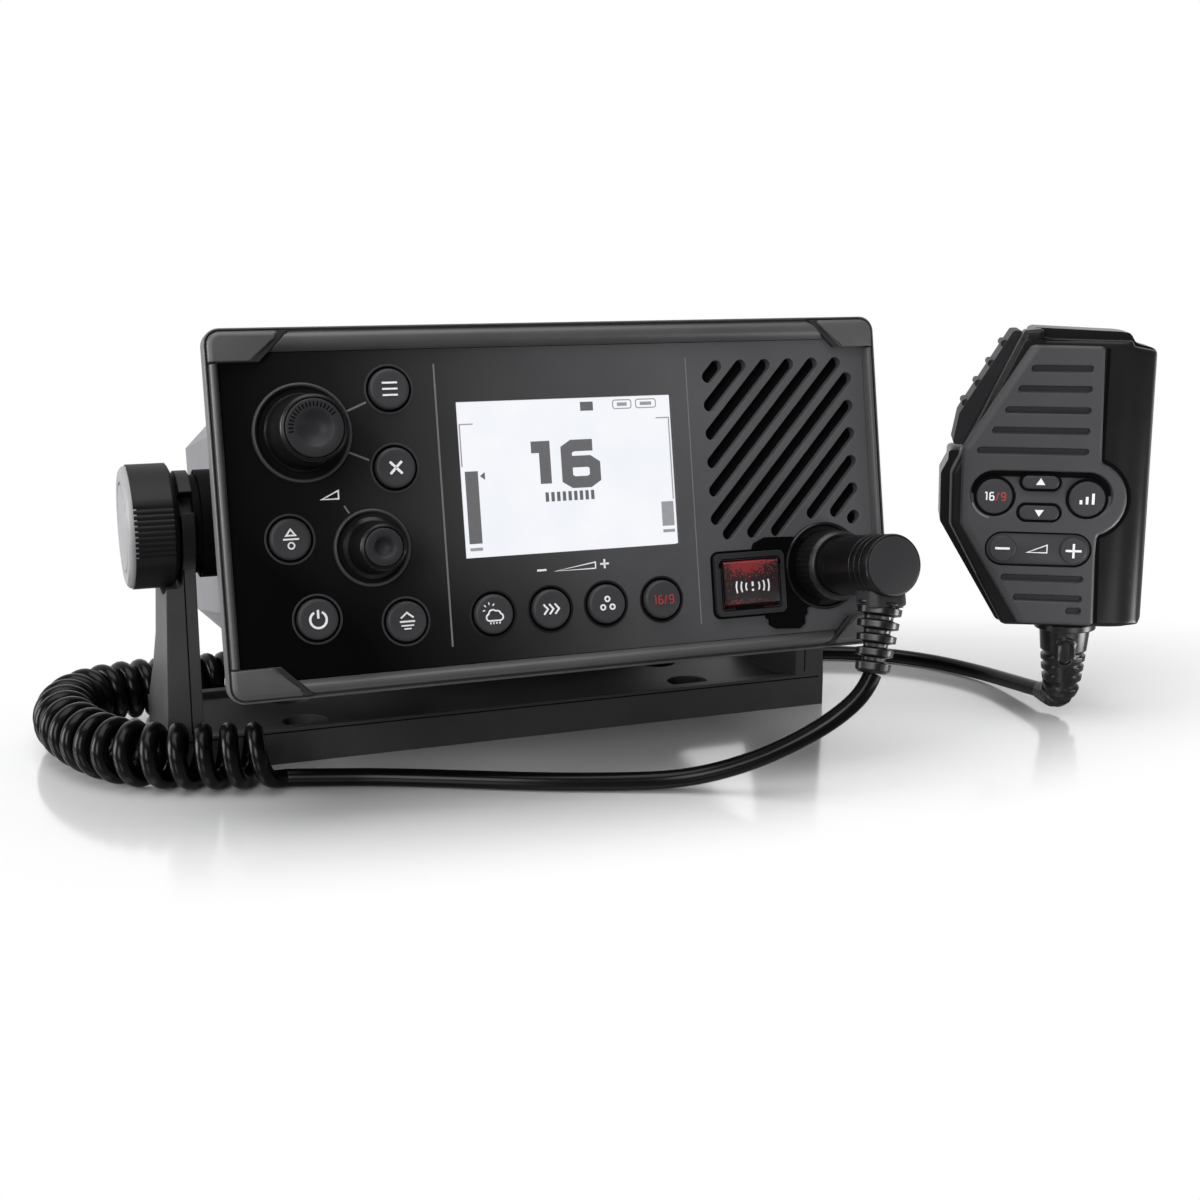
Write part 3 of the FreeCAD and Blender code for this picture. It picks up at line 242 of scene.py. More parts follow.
# ---- plates with a worked-out height ----
def spans(line, rows, columns):
    # a grid inside an outline that every level crosses twice: rows run from the left crossing to the right
    low, high = line[:, 1].min(), line[:, 1].max()
    level = np.linspace(low + 0.02, high - 0.02, rows)
    a, b = line, np.roll(line, -1, 0)
    crossing = (a[None, :, 1] - level[:, None]) * (b[None, :, 1] - level[:, None]) <= 0
    rise = np.where(np.abs(b[:, 1] - a[:, 1]) < 1e-9, 1e-9, b[:, 1] - a[:, 1])
    at = a[None, :, 0] + (level[:, None] - a[None, :, 1]) / rise[None] * (b[None, :, 0] - a[None, :, 0])
    leftSide = np.where(crossing, at, 1e9).min(1)
    rightSide = np.where(crossing, at, -1e9).max(1)
    across = leftSide[:, None] + (rightSide - leftSide)[:, None] * np.linspace(0, 1, columns)
    return across, np.repeat(level[:, None], columns, 1)


def heightPlate(across, z, height, behind):
    # points (across, -height, z) in front, a wall from their rim back to one flat polygon at -behind
    front = np.stack([across, -height, z], -1)
    rows, columns = front.shape[:2]
    index = np.arange(rows * columns).reshape(rows, columns)
    edge = np.concatenate([index[0], index[1:, -1], index[-1, -2::-1], index[-2:0:-1, 0]])
    back = front.reshape(-1, 3)[edge]
    back[:, 1] = -behind
    shut = rows * columns + np.arange(len(edge))
    quads = np.stack([index[:-1, :-1], index[:-1, 1:], index[1:, 1:], index[1:, :-1]], -1).reshape(-1, 4)
    wall = np.stack([edge, shut, np.roll(shut, -1), np.roll(edge, -1)], -1)
    faces = quads.tolist() + wall.tolist() + [shut.tolist()[::-1]]
    return outward(np.vstack([front.reshape(-1, 3), back]), faces)


def outlineDistance(u, z, corners):  # distance to the nearest side of a closed outline
    corners = np.asarray(corners, float)
    nearest = np.full(u.shape, 1e9)
    for (ax, az), (bx, bz) in zip(corners, np.roll(corners, -1, 0)):
        along = (u - ax) * (bx - ax) + (z - az) * (bz - az)
        share = np.clip(along / ((bx - ax) ** 2 + (bz - az) ** 2), 0, 1)
        nearest = np.minimum(nearest, np.hypot(u - ax - share * (bx - ax), z - az - share * (bz - az)))
    return nearest


def capsuleDistance(u, z, left, right, height, radius):  # negative inside
    return np.hypot(u - np.clip(u, left, right), z - height) - radius


def roundedDrop(across, z, line, radius):
    # how far a quarter round of radius r falls towards the outline: r (1 - sqrt(1 - (1 - distance / r)^2))
    inside = outlineDistance(across, z, line)
    return radius * (1 - np.sqrt(1 - (1 - np.clip(inside / radius, 0, 1)) ** 2))


# ---- pieces ----
def addPiece(name, body, finish, slot, parts, place, *replaced):
    points, faces = together(parts)
    mesh = bpy.data.meshes.new(name)
    mesh.from_pydata(toRow(points, place).tolist(), [], faces)
    mesh.shade_smooth()
    mesh.set_sharp_from_angle(angle=math.radians(32))
    piece = bpy.data.objects.new(name, mesh)
    bpy.context.collection.objects.link(piece)
    mesh.materials.append(finishes[finish])
    if body:
        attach(piece, body)
    if replaced:
        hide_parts(*replaced)
    return piece


def onRadio(name, finish, slot, parts, *replaced, body="radio"):
    return addPiece(name, body, finish, slot, parts, radioPlace, *replaced)


def onHandset(name, finish, slot, parts, *replaced, body="handset"):
    return addPiece(name, body, finish, slot, parts, handsetPlace, *replaced)


def pieceName(node):  # key_channel_16 becomes channel16, volume_up_key becomes volumeUp
    first, *others = [word for word in node.split("_") if word != "key"]
    return first + "".join(word.title() for word in others)


# ---- finishes ----
class Wire:  # a node's output in a material's tree; arithmetic on it adds Math nodes
    def __init__(self, tree, socket=None):
        self.tree = tree
        self.socket = socket

    def node(self, kind, settings=None, inputs=None, output=0):
        made = self.tree.nodes.new(kind)
        for name, value in (settings or {}).items():
            if name == "stops":
                ramp = made.color_ramp.elements
                while len(ramp) < len(value):
                    ramp.new(0.5)
                for element, (position, colour) in zip(ramp, value):
                    element.position, element.color = position, colour
            else:
                setattr(made, name, value)
        for key, value in (inputs or {}).items():
            if isinstance(value, Wire):
                self.tree.links.new(value.socket, made.inputs[key])
            else:
                made.inputs[key].default_value = value
        return Wire(self.tree, made.outputs[output])

    def maths(self, operation, *values):
        return self.node("ShaderNodeMath", {"operation": operation}, dict(enumerate(values)))

    def vectors(self, operation, inputs, output=0):
        return self.node("ShaderNodeVectorMath", {"operation": operation}, inputs, output)

    def __add__(self, other):
        return self.maths("ADD", self, other)

    def __sub__(self, other):
        return self.maths("SUBTRACT", self, other)

    def __rsub__(self, other):
        return self.maths("SUBTRACT", other, self)

    def __mul__(self, other):
        return self.maths("MULTIPLY", self, other)

    __radd__ = __add__
    __rmul__ = __mul__

    def between(self, low, high):  # 0 below low, 1 above high
        smooth = {"interpolation_type": "SMOOTHSTEP"}
        return self.node("ShaderNodeMapRange", smooth, {0: self, 1: low, 2: high})

    def mixed(self, first, second):  # first where this is 0, second where it is 1
        return self.node("ShaderNodeMix", {"data_type": "RGBA"}, {0: self, 6: first, 7: second}, output=2)

    def scaled(self, factor):  # a colour made darker or paler
        return self.vectors("SCALE", {0: self, "Scale": factor})

    def noise(self, size, detail=2.0):  # this is a position; size is in metres
        return self.node("ShaderNodeTexNoise", None, {"Vector": self, "Scale": 1 / size, "Detail": detail})

    def bump(self, strength, distance, **more):  # this is a height; distance is in metres
        values = {"Strength": strength, "Distance": distance, "Height": self, **more}
        return self.node("ShaderNodeBump", None, values)

    def axis(self, output):
        return self.node("ShaderNodeSeparateXYZ", None, {0: self}, output=output)

    def shown(self):  # this is a shader
        out = self.tree.nodes.new("ShaderNodeOutputMaterial")
        self.tree.links.new(self.socket, out.inputs[0])


def tone(text, level=1.0):  # a written colour as linear light
    value = np.array([int(text[i:i + 2], 16) / 255 for i in (1, 3, 5)])
    linear = np.where(value <= 0.04045, value / 12.92, ((value + 0.055) / 1.055) ** 2.4) * level
    return (*linear.tolist(), 1.0)


def newFinish(name):
    material = bpy.data.materials.new(name)
    material.use_nodes = True
    material.node_tree.nodes.clear()
    tree = Wire(material.node_tree)
    return material, tree, tree.node("ShaderNodeTexCoord", output=3)


def principled(tree, colour, rough, **more):
    inputs = {key.replace("_", " "): value for key, value in more.items()}
    return tree.node("ShaderNodeBsdfPrincipled", None, {"Base Color": colour, "Roughness": rough, **inputs})


def moulded(name, colour, rough, grain=0.0004, depth=0.00002, mottle=0.12, edge=0.0003, edgeWearAndSheen=0.25,
            colourFrom=None, specular=0.5):
    # moulded plastic: fine grain, cloudy tone and roughness, softened edges painted a little paler, partly
    # as rubbed wear and partly as a painted highlight
    material, tree, position = newFinish(name)
    cloud = position.noise(0.02, 3).between(0.3, 0.7)
    fine = position.noise(grain, 2)
    soft = tree.node("ShaderNodeBevel", {"samples": 4}, {"Radius": edge})
    flat = tree.node("ShaderNodeNewGeometry", output=1)
    bend = tree.vectors("DOT_PRODUCT", {0: soft, 1: flat}, output=1)
    # painted highlight and wear: the colour turns paler where the bevel bends the normal, along every edge
    wornAndSheenEdge = (1 - bend).between(0.02, 0.3)
    base = colourFrom(position) if colourFrom else tree.node("ShaderNodeRGB")
    if not colourFrom:
        base.socket.default_value = tone(colour)
    low, high, pale = base.scaled(1 - mottle), base.scaled(1 + mottle), base.scaled(1 + 2.5 * edgeWearAndSheen)
    body = wornAndSheenEdge.mixed(cloud.mixed(low, high), pale)
    principled(tree, body, rough - 0.04 + cloud * 0.05 + fine * 0.05, Specular_IOR_Level=specular,
               Normal=fine.bump(0.6, depth, Normal=soft)).shown()
    return material


def printed(name, colour, rough=0.5, glow=0.0):  # ink or paint on a raised mark
    material, tree, position = newFinish(name)
    cloud = position.noise(0.001, 2)
    base = cloud.between(0.2, 0.9).mixed(tone(colour, 0.9), tone(colour, 1.04))
    lit = {"Emission_Color": tone(colour), "Emission_Strength": glow} if glow else {}
    principled(tree, base, rough + cloud * 0.08, **lit).shown()
    return material


def metal(name, colour, rough):  # machined metal with fine turning lines
    material, tree, position = newFinish(name)
    lines = position.noise(0.0006, 4)
    base = lines.mixed(tone(colour, 0.85), tone(colour))
    principled(tree, base, rough + lines * 0.1, Metallic=1.0, Normal=lines.bump(0.3, 0.00001)).shown()
    return material


# painted reflection: the panel's tones at points across it, in millimetres from its middle
panelReflectionTones = [(-87, "#010101"), (-61, "#151516"), (-34, "#303031"), (-20, "#3c3c3d"), (0, "#454547"),
              (30, "#4c4c4e"), (87, "#464648")]


def panelPaintedReflection(position):  # painted reflection: nearly black at the lower left, charcoal towards the upper right
    low = 1 - position.axis(2).between(0.036, 0.078)
    along = position.axis(0) - low * 0.034
    share = along.node("ShaderNodeMapRange", None, {0: along, 1: -0.087, 2: 0.087})
    stops = [((x + 87) / 174, tone(colour)) for x, colour in panelReflectionTones]
    return share.node("ShaderNodeValToRGB", {"stops": stops}, {0: share})


def rimPaintedLight(position):  # painted light: the key rims are paler on the dark side of the panel, darker on its pale side
    return position.axis(0).between(-0.045, -0.02).mixed(tone("#343436"), tone("#161617"))


def bracketPaintedShade(position):  # painted shade: the bracket turns nearly black above a height of 56 to 60 mm, on the arms' upper ends
    return position.axis(2).between(0.056, 0.0605).mixed(tone("#3c3b3b"), tone("#0b0b0c"))


def displayFinish():  # a lit white screen
    material, tree, position = newFinish("litDisplay")
    lit = position.noise(0.012, 2).between(0.2, 0.8).mixed(tone("#f3f6fc"), tone("#fafbff"))
    principled(tree, tone("#303030"), 0.5, Emission_Color=lit, Emission_Strength=0.97).shown()
    return material


def windowFinish():  # clear window: a weak reflection over what lies behind
    material, tree, position = newFinish("clearWindow")
    gloss = principled(tree, tone("#0a0a0a"), 0.06 + position.noise(0.01, 3) * 0.05)
    clear = tree.node("ShaderNodeBsdfTransparent")
    weight = tree.node("ShaderNodeFresnel", None, {"IOR": 1.35})
    tree.node("ShaderNodeMixShader", None, {0: weight * 0.6, 1: clear, 2: gloss}).shown()
    return material


def coverFinish():  # smoked cover that shows cloudy red at its top and specks of it below
    material, tree, position = newFinish("smokedCover")
    height, across = position.axis(2), position.axis(0)
    speck = position.noise(0.00055, 3)
    top = height.between(0.0515, 0.0585) * (across.between(0.036, 0.046) - across.between(0.047, 0.059))
    low = (1 - height.between(0.0468, 0.0502)) * (1 - across.between(0.045, 0.055)) * 0.42
    red = (top * 1.1 + low + (speck - 0.5) * 3.2).between(0.42, 0.62)
    colour = red.mixed(tone("#1f1d1e"), tone("#742629"))
    principled(tree, colour, 0.3 + speck * 0.06, Specular_IOR_Level=0.3).shown()
    return material


def jacketFinish():  # smooth black cord jacket
    material, tree, position = newFinish("cordJacket")
    cloud = position.noise(0.006, 2)
    normal = position.noise(0.0005, 2).bump(0.25, 0.00003)
    colour = cloud.mixed(tone("#030304"), tone("#080809"))
    principled(tree, colour, 0.2 + cloud * 0.06, Specular_IOR_Level=0.12, Normal=normal).shown()
    return material


finishes = {
    "bezel": moulded("bezelPlastic", "#434344", 0.4, mottle=0.08, depth=0.00003, specular=0.35),
    "caps": moulded("capPlastic", "#454546", 0.44, mottle=0.08, specular=0.3),
    "panel": moulded("panelPlastic", None, 0.55, colourFrom=panelPaintedReflection, mottle=0.05, edgeWearAndSheen=0.3,
                     specular=0.05),
    "key": moulded("keyPlastic", "#313133", 0.5, mottle=0.06, specular=0.25),
    "knob": moulded("knobPlastic", "#0a0a0b", 0.33, mottle=0.08, edgeWearAndSheen=0.5, specular=0.2),
    "knobFace": moulded("knobFacePlastic", "#272729", 0.5, grain=0.0005, depth=0.00005, mottle=0.06,
                        specular=0.16),
    "ring": moulded("ringPlastic", "#3a3a3c", 0.42, specular=0.35),
    "keyRim": moulded("keyRimPlastic", None, 0.5, colourFrom=rimPaintedLight, specular=0.12),
    "strip": moulded("seamAndShadePlastic", "#242426", 0.5, specular=0.2),
    "shell": moulded("shellPlastic", "#151516", 0.3, depth=0.00001, mottle=0.08, specular=0.12),
    # the clamp knobs' grey end faces are made paler, partly painting in the light from the left on them
    "clampFace": moulded("clampFacePlastic", "#7c7c7e", 0.5, grain=0.0005, depth=0.00006, specular=0.4),
    "glossBlack": moulded("glossBlack", "#0a0a0b", 0.2, depth=0.000003, mottle=0.1, specular=0.25),
    "satinBlack": moulded("satinBlack", "#0d0d0e", 0.36, specular=0.35),
    "matteBlack": moulded("matteBlack", "#040405", 0.6, mottle=0.1, edgeWearAndSheen=0.15, specular=0.04),
    "plug": moulded("plugRubber", "#0a0a0b", 0.3, specular=0.35),
    "plugCap": moulded("plugCapPlastic", "#2b2b2d", 0.5, mottle=0.05, specular=0.25),
    "bracket": moulded("bracketPlastic", None, 0.5, grain=0.0005, depth=0.00005, mottle=0.08, edge=0.0006,
                       colourFrom=bracketPaintedShade, specular=0.2),
    "clamp": moulded("clampPlastic", "#131314", 0.45, edge=0.0004, edgeWearAndSheen=0.3, specular=0.14),
    "case": moulded("caseMetal", "#5c5c60", 0.46, grain=0.0005, depth=0.00005, mottle=0.03, edge=0.0005,
                    specular=0.4),
    "handsetFace": moulded("handsetFacePlastic", "#39393b", 0.5, depth=0.00004, mottle=0.05, specular=0.25),
    "handsetKey": moulded("handsetKeyRubber", "#2f2f31", 0.5, mottle=0.05, specular=0.25),
    "pressKey": moulded("talkKeyRubber", "#232325", 0.5, specular=0.1),
    "silicone": moulded("siliconeRubber", "#1a1a1b", 0.6, specular=0.3),
    "board": moulded("solderMask", "#1d4a32", 0.35, mottle=0.2),
    "cloth": moulded("speakerCloth", "#050506", 0.8, grain=0.0006, depth=0.0001, specular=0.1),
    "red": moulded("redButton", "#6e1c1e", 0.35),
    "steel": metal("plainSteel", "#a5a6a8", 0.3),
    "nickel": metal("nickelPlate", "#c9c6bf", 0.22),
    "white": printed("whiteInk", "#e2e2e3"),
    "grey": printed("greyInkAndHighlight", "#646466"),
    "redInk": printed("redInk", "#8a2c2e"),
    "lcdInk": printed("displayInk", "#6a6a6d", 0.6, glow=0.25),
    "lcdPale": printed("displayPaleInk", "#96969b", 0.6, glow=0.4),
    "display": displayFinish(),
    "window": windowFinish(),
    "cover": coverFinish(),
    "jacket": jacketFinish(),
}
print("finishes made", len(finishes))

# ---- cord ----
cord = {
    "diameter": 4.8,
    "coilRadius": 6.6,
    "pitchAlong": [7.2, 6.6, 5.3, 5.2],
    "turnPoints": 14,
    "startAngle": -90.0,
    "rampLength": 9.0,
    "stretches": {  # the node that each stands for, its body where it rides on one, and its given length
        "front": ("cord_front_lead", None, 0.163),
        "coil": ("cord_coil", "bracket", 1.4),
        "rear": ("cord_rear_lead", None, 0.225),
    },
}
frontLeadRoute = np.array([
    (67.6, -92.7, 33.2), (65.4, -93.4, 28.9), (58.4, -91.6, 22.2), (49.4, -86.9, 15.4), (38.3, -79.8, 8.5),
    (25, -71.3, 3.4), (8.5, -64.2, 2.5), (-10.6, -56.6, 2.5), (-30, -46.8, 2.5), (-48.6, -37.8, 2.5),
    (-60.5, -33.6, 2.5), (-71.5, -30, 2.6),
])
coilRoute = np.array([
    (-71.8, -29.9, 9.1), (-93.6, -24.1, 9.1), (-111, -14.6, 9.1), (-120.5, 4.2, 9.1), (-124.9, 25.6, 9.1),
    (-119.7, 45.5, 9.1), (-102.5, 52.5, 9.1), (-82, 51.2, 9.1), (-58, 53.3, 9.1), (-32, 51.8, 9.1),
    (-8, 52.6, 9.1),
])
rearLeadRoute = np.array([
    (-7.7, 52.6, 2.6), (14, 51.4, 2.5), (38, 53.4, 2.5), (62, 51.6, 2.5), (86, 50, 2.5), (108, 45.5, 2.5),
    (128, 38.6, 2.5), (145.5, 28.4, 2.5), (156.5, 12.5, 2.5), (161.8, -4.5, 2.6), (162.3, -20.5, 3.6),
    (161.4, -35.8, 5),
])


def splineLine(points, resolution=12):  # points along a smooth curve with those control points
    curve = bpy.data.curves.new("route", "CURVE")
    curve.dimensions = "3D"
    spline = curve.splines.new("NURBS")
    spline.points.add(len(points) - 1)
    spline.points.foreach_set("co", np.insert(points, 3, 1, axis=1).ravel())
    spline.order_u = 3
    spline.use_endpoint_u = True
    spline.resolution_u = resolution
    holder = bpy.data.objects.new("route", curve)
    mesh = bpy.data.meshes.new_from_object(holder)
    line = np.empty(len(mesh.vertices) * 3, np.float32)
    mesh.vertices.foreach_get("co", line)
    bpy.data.objects.remove(holder)
    bpy.data.meshes.remove(mesh)
    return line.reshape(-1, 3).astype(float)


def evenly(line, step):  # the same line with points a fixed step apart
    reach = np.insert(np.cumsum(np.linalg.norm(np.diff(line, axis=0), axis=1)), 0, 0)
    at = np.linspace(0, reach[-1], int(round(reach[-1] / step)) + 1)
    return np.stack([np.interp(at, reach, line[:, i]) for i in range(3)], -1), at


def coilPoints():
    # centre + R (cos a x side + sin a x up) along the coil's line; the angle a slows at both ends
    centre, at = evenly(splineLine(coilRoute), 0.05)
    speed = np.clip(np.minimum(at, at[-1] - at) / cord["rampLength"], 0, 1)
    pitch = np.interp(at / at[-1], np.linspace(0, 1, len(cord["pitchAlong"])), cord["pitchAlong"])
    uneven = 1 + 0.07 * np.sin(at / 17) + 0.04 * np.sin(at / 7 + 1)
    speed = (speed * speed * (3 - 2 * speed) + 0.02) * uneven / pitch
    turns = np.cumsum(speed) * (at[1] - at[0])
    total = round(turns[-1])
    angle = math.radians(cord["startAngle"]) + turns / turns[-1] * total * tau
    heading = np.gradient(centre, axis=0)
    heading /= np.linalg.norm(heading, axis=1, keepdims=True)
    up = np.array((0, 0, 1.0))
    side = np.cross(up, heading)
    path = centre + cord["coilRadius"] * (np.cos(angle)[:, None] * side + np.sin(angle)[:, None] * up)
    wanted = np.linspace(angle[0], angle[-1], total * cord["turnPoints"])
    return np.stack([np.interp(wanted, angle, path[:, i]) for i in range(3)], -1)


def makeCord():
    coil = coilPoints()
    whole = splineLine(np.vstack([frontLeadRoute, coil, rearLeadRoute]), resolution=6)
    first, last = (np.argmin(np.linalg.norm(whole - end, axis=1)) for end in (coil[0], coil[-1]))
    lines = {"front": whole[:first + 1], "coil": whole[first:last + 1], "rear": whole[last:]}
    centre, _ = evenly(splineLine(coilRoute), 0.5)
    nearest = np.argmin(((lines["coil"][:, None] - centre[None]) ** 2).sum(2), axis=1)
    guides = {"front": (0, 1, 0), "coil": centre[nearest] - lines["coil"], "rear": (0, 0, 1)}
    made = {}
    for name, (node, body, _) in cord["stretches"].items():
        shape = tube(lines[name], cord["diameter"] / 2, guides[name], sides=14)
        reach = np.linalg.norm(np.diff(lines[name], axis=0), axis=1).sum()
        print(name, "cord length", round(reach, 1))
        made[name] = addPiece(name + "Cord", body, "jacket", "cord_rubber", [shape], rowPlace, node)
    return made, {name: line / 1000 for name, line in lines.items()}


cords, cordLines = makeCord()

# ---- radio: bezel, caps and panel ----
keys = {
    "key_menu": (-46.1, 29.1),
    "key_cancel": (-45.9, 9.8),
    "key_intercom": (-72.9, -6.1),
    "key_power": (-67.7, -25.8),
    "key_position": (-45.8, -28.1),
    "key_weather": (-23.3, -28.1),
    "key_scan": (-8, -28),
    "key_watch": (7.2, -27.9),
    "key_channel_16": (22.8, -27.9),
}
knobs = {
    "channel": {"at": (-68.1, 19.3), "skirt": 9.5, "front": 7.7, "proud": 16.0, "dish": 4.2, "ring": 12.1},
    "volume": {"at": (-53, -9.4), "skirt": 7.6, "front": 5.4, "proud": 13.0, "dish": 2.5, "ring": 9.6},
}
bezel = {
    "right": 90.2, "top": 44.7, "depth": 18.0, "flange": 6.0, "neck": 3.2, "seam": 0.42, "crown": 1.7,
    "wall": 2.8,
    "opening": (-87, 87, -40.2, 38.9), "room": (-84.3, 84.3, -38.8, 38.8), "passage": (-75, 75, -31, 31),
    "panelBack": 4.7,
}
caps = {"start": 70.1, "side": 36.5, "reach": 77.3, "round": 3.4, "edge": 1.5, "inset": 0.72}
panel = {"front": 1.93, "back": 2.1}


def makeBezel():
    # a frame with a thin raised lip round its edge, and four crowned bars on it between the corner caps
    right, top, depth, flange, neck = (bezel[name] for name in ("right", "top", "depth", "flange", "neck"))
    outer = roundCorners(rectangle(-right, right, -top, top), 4, 8)
    inner, room = (roundCorners(rectangle(*bezel[name]), 1.2, 8) for name in ("opening", "room"))
    passage = roundCorners(rectangle(*bezel["passage"]), 6, 8)
    floor, shelf = bezel["panelBack"], depth - bezel["wall"]
    levels = [(outer, depth, neck + 0.5), (outer, depth - 0.5, neck), (outer, flange, neck),
              (outer, flange, 0.3),
              (outer, flange - 0.3, 0), (outer, 1.5, 0), (outer, 1.2, 0.08), (outer, 1.02, 0.25),
              (outer, 1.05, 0.45), (outer, 1.3, 0.55), (outer, 1.95, 0.55), (outer, 1.95, 1.2),
              (inner, 1.95, -0.3), (inner, 2.05, 0), (inner, floor, 0), (room, floor, 0), (room, shelf, 0),
              (passage, shelf, 0), (passage, depth, 0)]
    frameShape = surface(np.array([flatRow(*level) for level in levels]), rowsWrap=True)
    bars = [crownedBar(38.98, top - 0.78, True, 1), crownedBar(40.28, top - 0.78, True, -1)]
    bars += [crownedBar(87.08, right - 0.78, False, side) for side in (-1, 1)]
    onRadio("bezelFrame", "bezel", "bezel_plastic", [frameShape, *bars], "front_bezel")


def crownedBar(low, high, lies, side):
    # the section across the bar is depth = 0.2 + crown x |2t - 1|^2.4; a lying bar's ends follow the caps
    share = np.linspace(0, 1, 15)
    across = np.concatenate([low + (high - low) * share, [high, low]])
    depth = np.concatenate([0.2 + bezel["crown"] * np.abs(2 * share - 1) ** 2.4, [2.3, 2.3]])
    end = (69.5 + (44.8 - across) * 0.94 if lies else caps["side"] + 0 * across) - bezel["seam"]
    rows = [[reach * end, depth, side * across] if lies else [side * across, depth, reach * end]
            for reach in (-1, 1)]
    return surface(np.stack(rows).transpose(0, 2, 1))


def makeCaps():
    # pointed plates: their outer edges are rounded, and a ramp runs down along the slanted edge
    plates, strips = [], []
    start, low, reach = caps["start"], caps["side"], caps["reach"]
    outerSide, outerTop = bezel["right"] - caps["inset"], bezel["top"] - caps["inset"]
    steps = np.radians([0, 15, 30, 45, 60, 75, 90])
    depths = np.concatenate([[2.2], 1.7 * (1 - np.sin(steps))])
    edges = np.concatenate([[0], caps["edge"] * (1 - np.cos(steps))])
    ramps = np.clip((1.5 - depths) / 1.2, 0, 1) * 2.3
    for side, level in ((-1, 1), (1, 1), (1, -1), (-1, -1)):
        rows = []
        for depth, edge, ramp in zip(depths, edges, ramps):
            corners = [(start + ramp * 1.2, outerTop - edge), (outerSide - edge, outerTop - edge),
                       (outerSide - edge, low + 0.2 * edge), (reach + ramp * 1.05, low + 0.2 * edge)]
            line = roundCorners(corners, [0.3, caps["round"] - edge, 0.3, 0.5], 7) * (side, level)
            rows.append(flatRow(line, depth))
        plates.append(surface(np.array(rows)))
        # painted shade: a dark strip along each cap's slanted edge stands for the seam there and for the
        # shade on the ramp beside it
        strip = [(start, outerTop - 0.1), (start + 2.7, outerTop - 0.1), (reach + 2.4, low + 0.1),
                 (reach, low + 0.1)]
        strips.append(prism(np.multiply(strip, (side, level)), 0.55, 1.9))
    onRadio("cornerCaps", "caps", "bezel_plastic", plates, "corner_caps")
    onRadio("capSeamsAndShade", "strip", "bezel_plastic", strips)


def makePanelLines():
    lines = [
        ([(-34.4, 35), (-34.4, -35.4)], 0.45), ([(33.8, 35), (33.8, -35.4)], 0.32),
        ([(-56.9, 24.1), (-52, 26.1)], 0.5), ([(-57.1, 14.1), (-52.2, 12)], 0.5),
        ([(-59.2, 1.2), (-58.1, -0.7)], 0.4),
    ]
    signs = [
        ([(-10.9, -18), (-8.4, -18)], 0.5), ([(6.3, -17.5), (8.7, -17.5)], 0.5),
        ([(7.5, -16.3), (7.5, -18.7)], 0.5), ([(-6, -18.5), (5, -16.9), (5, -18.5)], 0.3, True),
        ([(-64.6, 3), (-60.4, 5), (-60.4, 3)], 0.35, True),
    ]
    onRadio("panelLines", "grey", "panel_plastic", strokes(lines, **panel))
    onRadio("panelSigns", "white", "panel_plastic", strokes(signs, **panel))
    for name, finish, radius, width, front in (("keyRims", "keyRim", 5.92, 0.5, 1.93),
                                               ("keyWells", "matteBlack", 5.4, 0.7, 2.4)):
        rings = strokes([(circle(radius, 56, at), width, True) for at in keys.values()], front, 2.85)
        onRadio(name, finish, "panel_plastic", rings)
    rings = []
    for knob in knobs.values():  # a rounded ring: the outline bulges forward between its two radii
        out = knob["ring"]
        turns = np.radians([0, 25, 50, 75, 105, 130, 155, 180])
        bulge = [(out - 0.45 + 0.45 * math.cos(a), 1.75 - 0.85 * math.sin(a)) for a in turns]
        rings.append(turned([(out, 2.2), *bulge, (out - 0.9, 2.2)], knob["at"], 96, rowsWrap=True))
    onRadio("knobRings", "ring", "panel_plastic", rings)


def makeSpeakerCloth():
    outline = roundCorners(rectangle(36, 84, -14.5, 35.5), 2, 4)
    cloth = stack(outline, [(4.9, 0.3), (5.05, 0), (4.75, 0), (4.68, 0.3)])
    onRadio("speakerCloth", "cloth", "speaker_black", [cloth])


makeBezel()
makeCaps()
makePanelLines()
makeSpeakerCloth()
print("bezel and panel made")

# ---- keys ----
keyShape = {"radius": 5.0, "proud": 1.3, "panel": 2.0, "round": 0.75}


def keySigns():  # each key's printed sign as lines about the key's centre
    def bars(*heights):
        return [([(-1.9, z), (1.9, z)], 0.45) for z in heights]

    cloud = np.vstack([
        arc((-1.35, -0.75), 0.85, 270, 110, 9), arc((-0.55, 0.2), 0.95, 170, 60, 9),
        arc((0.75, 0.05), 0.8, 110, 10, 9), arc((1.35, -0.75), 0.85, 70, -90, 9),
    ])
    rays = [([(-1.2 + r * math.cos(a), 1.2 + r * math.sin(a)) for r in (1.25, 1.9)], 0.28)
            for a in np.radians([50, 95, 140, 185])]
    drops = [([(x, -1.95), (x - 0.15, -2.45)], 0.3) for x in (-1.1, -0.3, 0.5, 1.3)]
    return {
        "key_menu": bars(1.5, 0.0, -1.5),
        "key_cancel": [([(-1.5, 1.5), (1.5, -1.5)], 0.62), ([(-1.5, -1.5), (1.5, 1.5)], 0.62)],
        "key_intercom": [*bars(0.0), ([(-1.1, 0.9), (0, 2.4), (1.1, 0.9)], 0.4, True),
                         (arc((0, -1.55), 0.75, 0, 345, 18), 0.35, True)],
        "key_power": [(arc((0, -0.1), 2.0, 118, 422, 40), 0.55), ([(0, 2.3), (0, 0.2)], 0.55)],
        "key_position": [*bars(0.0), ([(-1.6, 0.9), (0, 2.2), (1.6, 0.9)], 0.42),
                         ([(-1.6, -1.0), (1.6, -1.0)], 0.35), ([(-0.9, -1.8), (0.9, -1.8)], 0.35)],
        "key_weather": [(cloud, 0.38, True), *rays, *drops],
        "key_scan": [([(x, 1.3), (x + 1.1, 0), (x, -1.3)], 0.45) for x in (-2.2, -0.7, 0.8)],
        "key_watch": [(arc(at, 0.62, 0, 345, 18), 0.4, True)
                      for at in ((-1.3, -0.8), (1.3, -0.8), (0, 1.3))],
    }


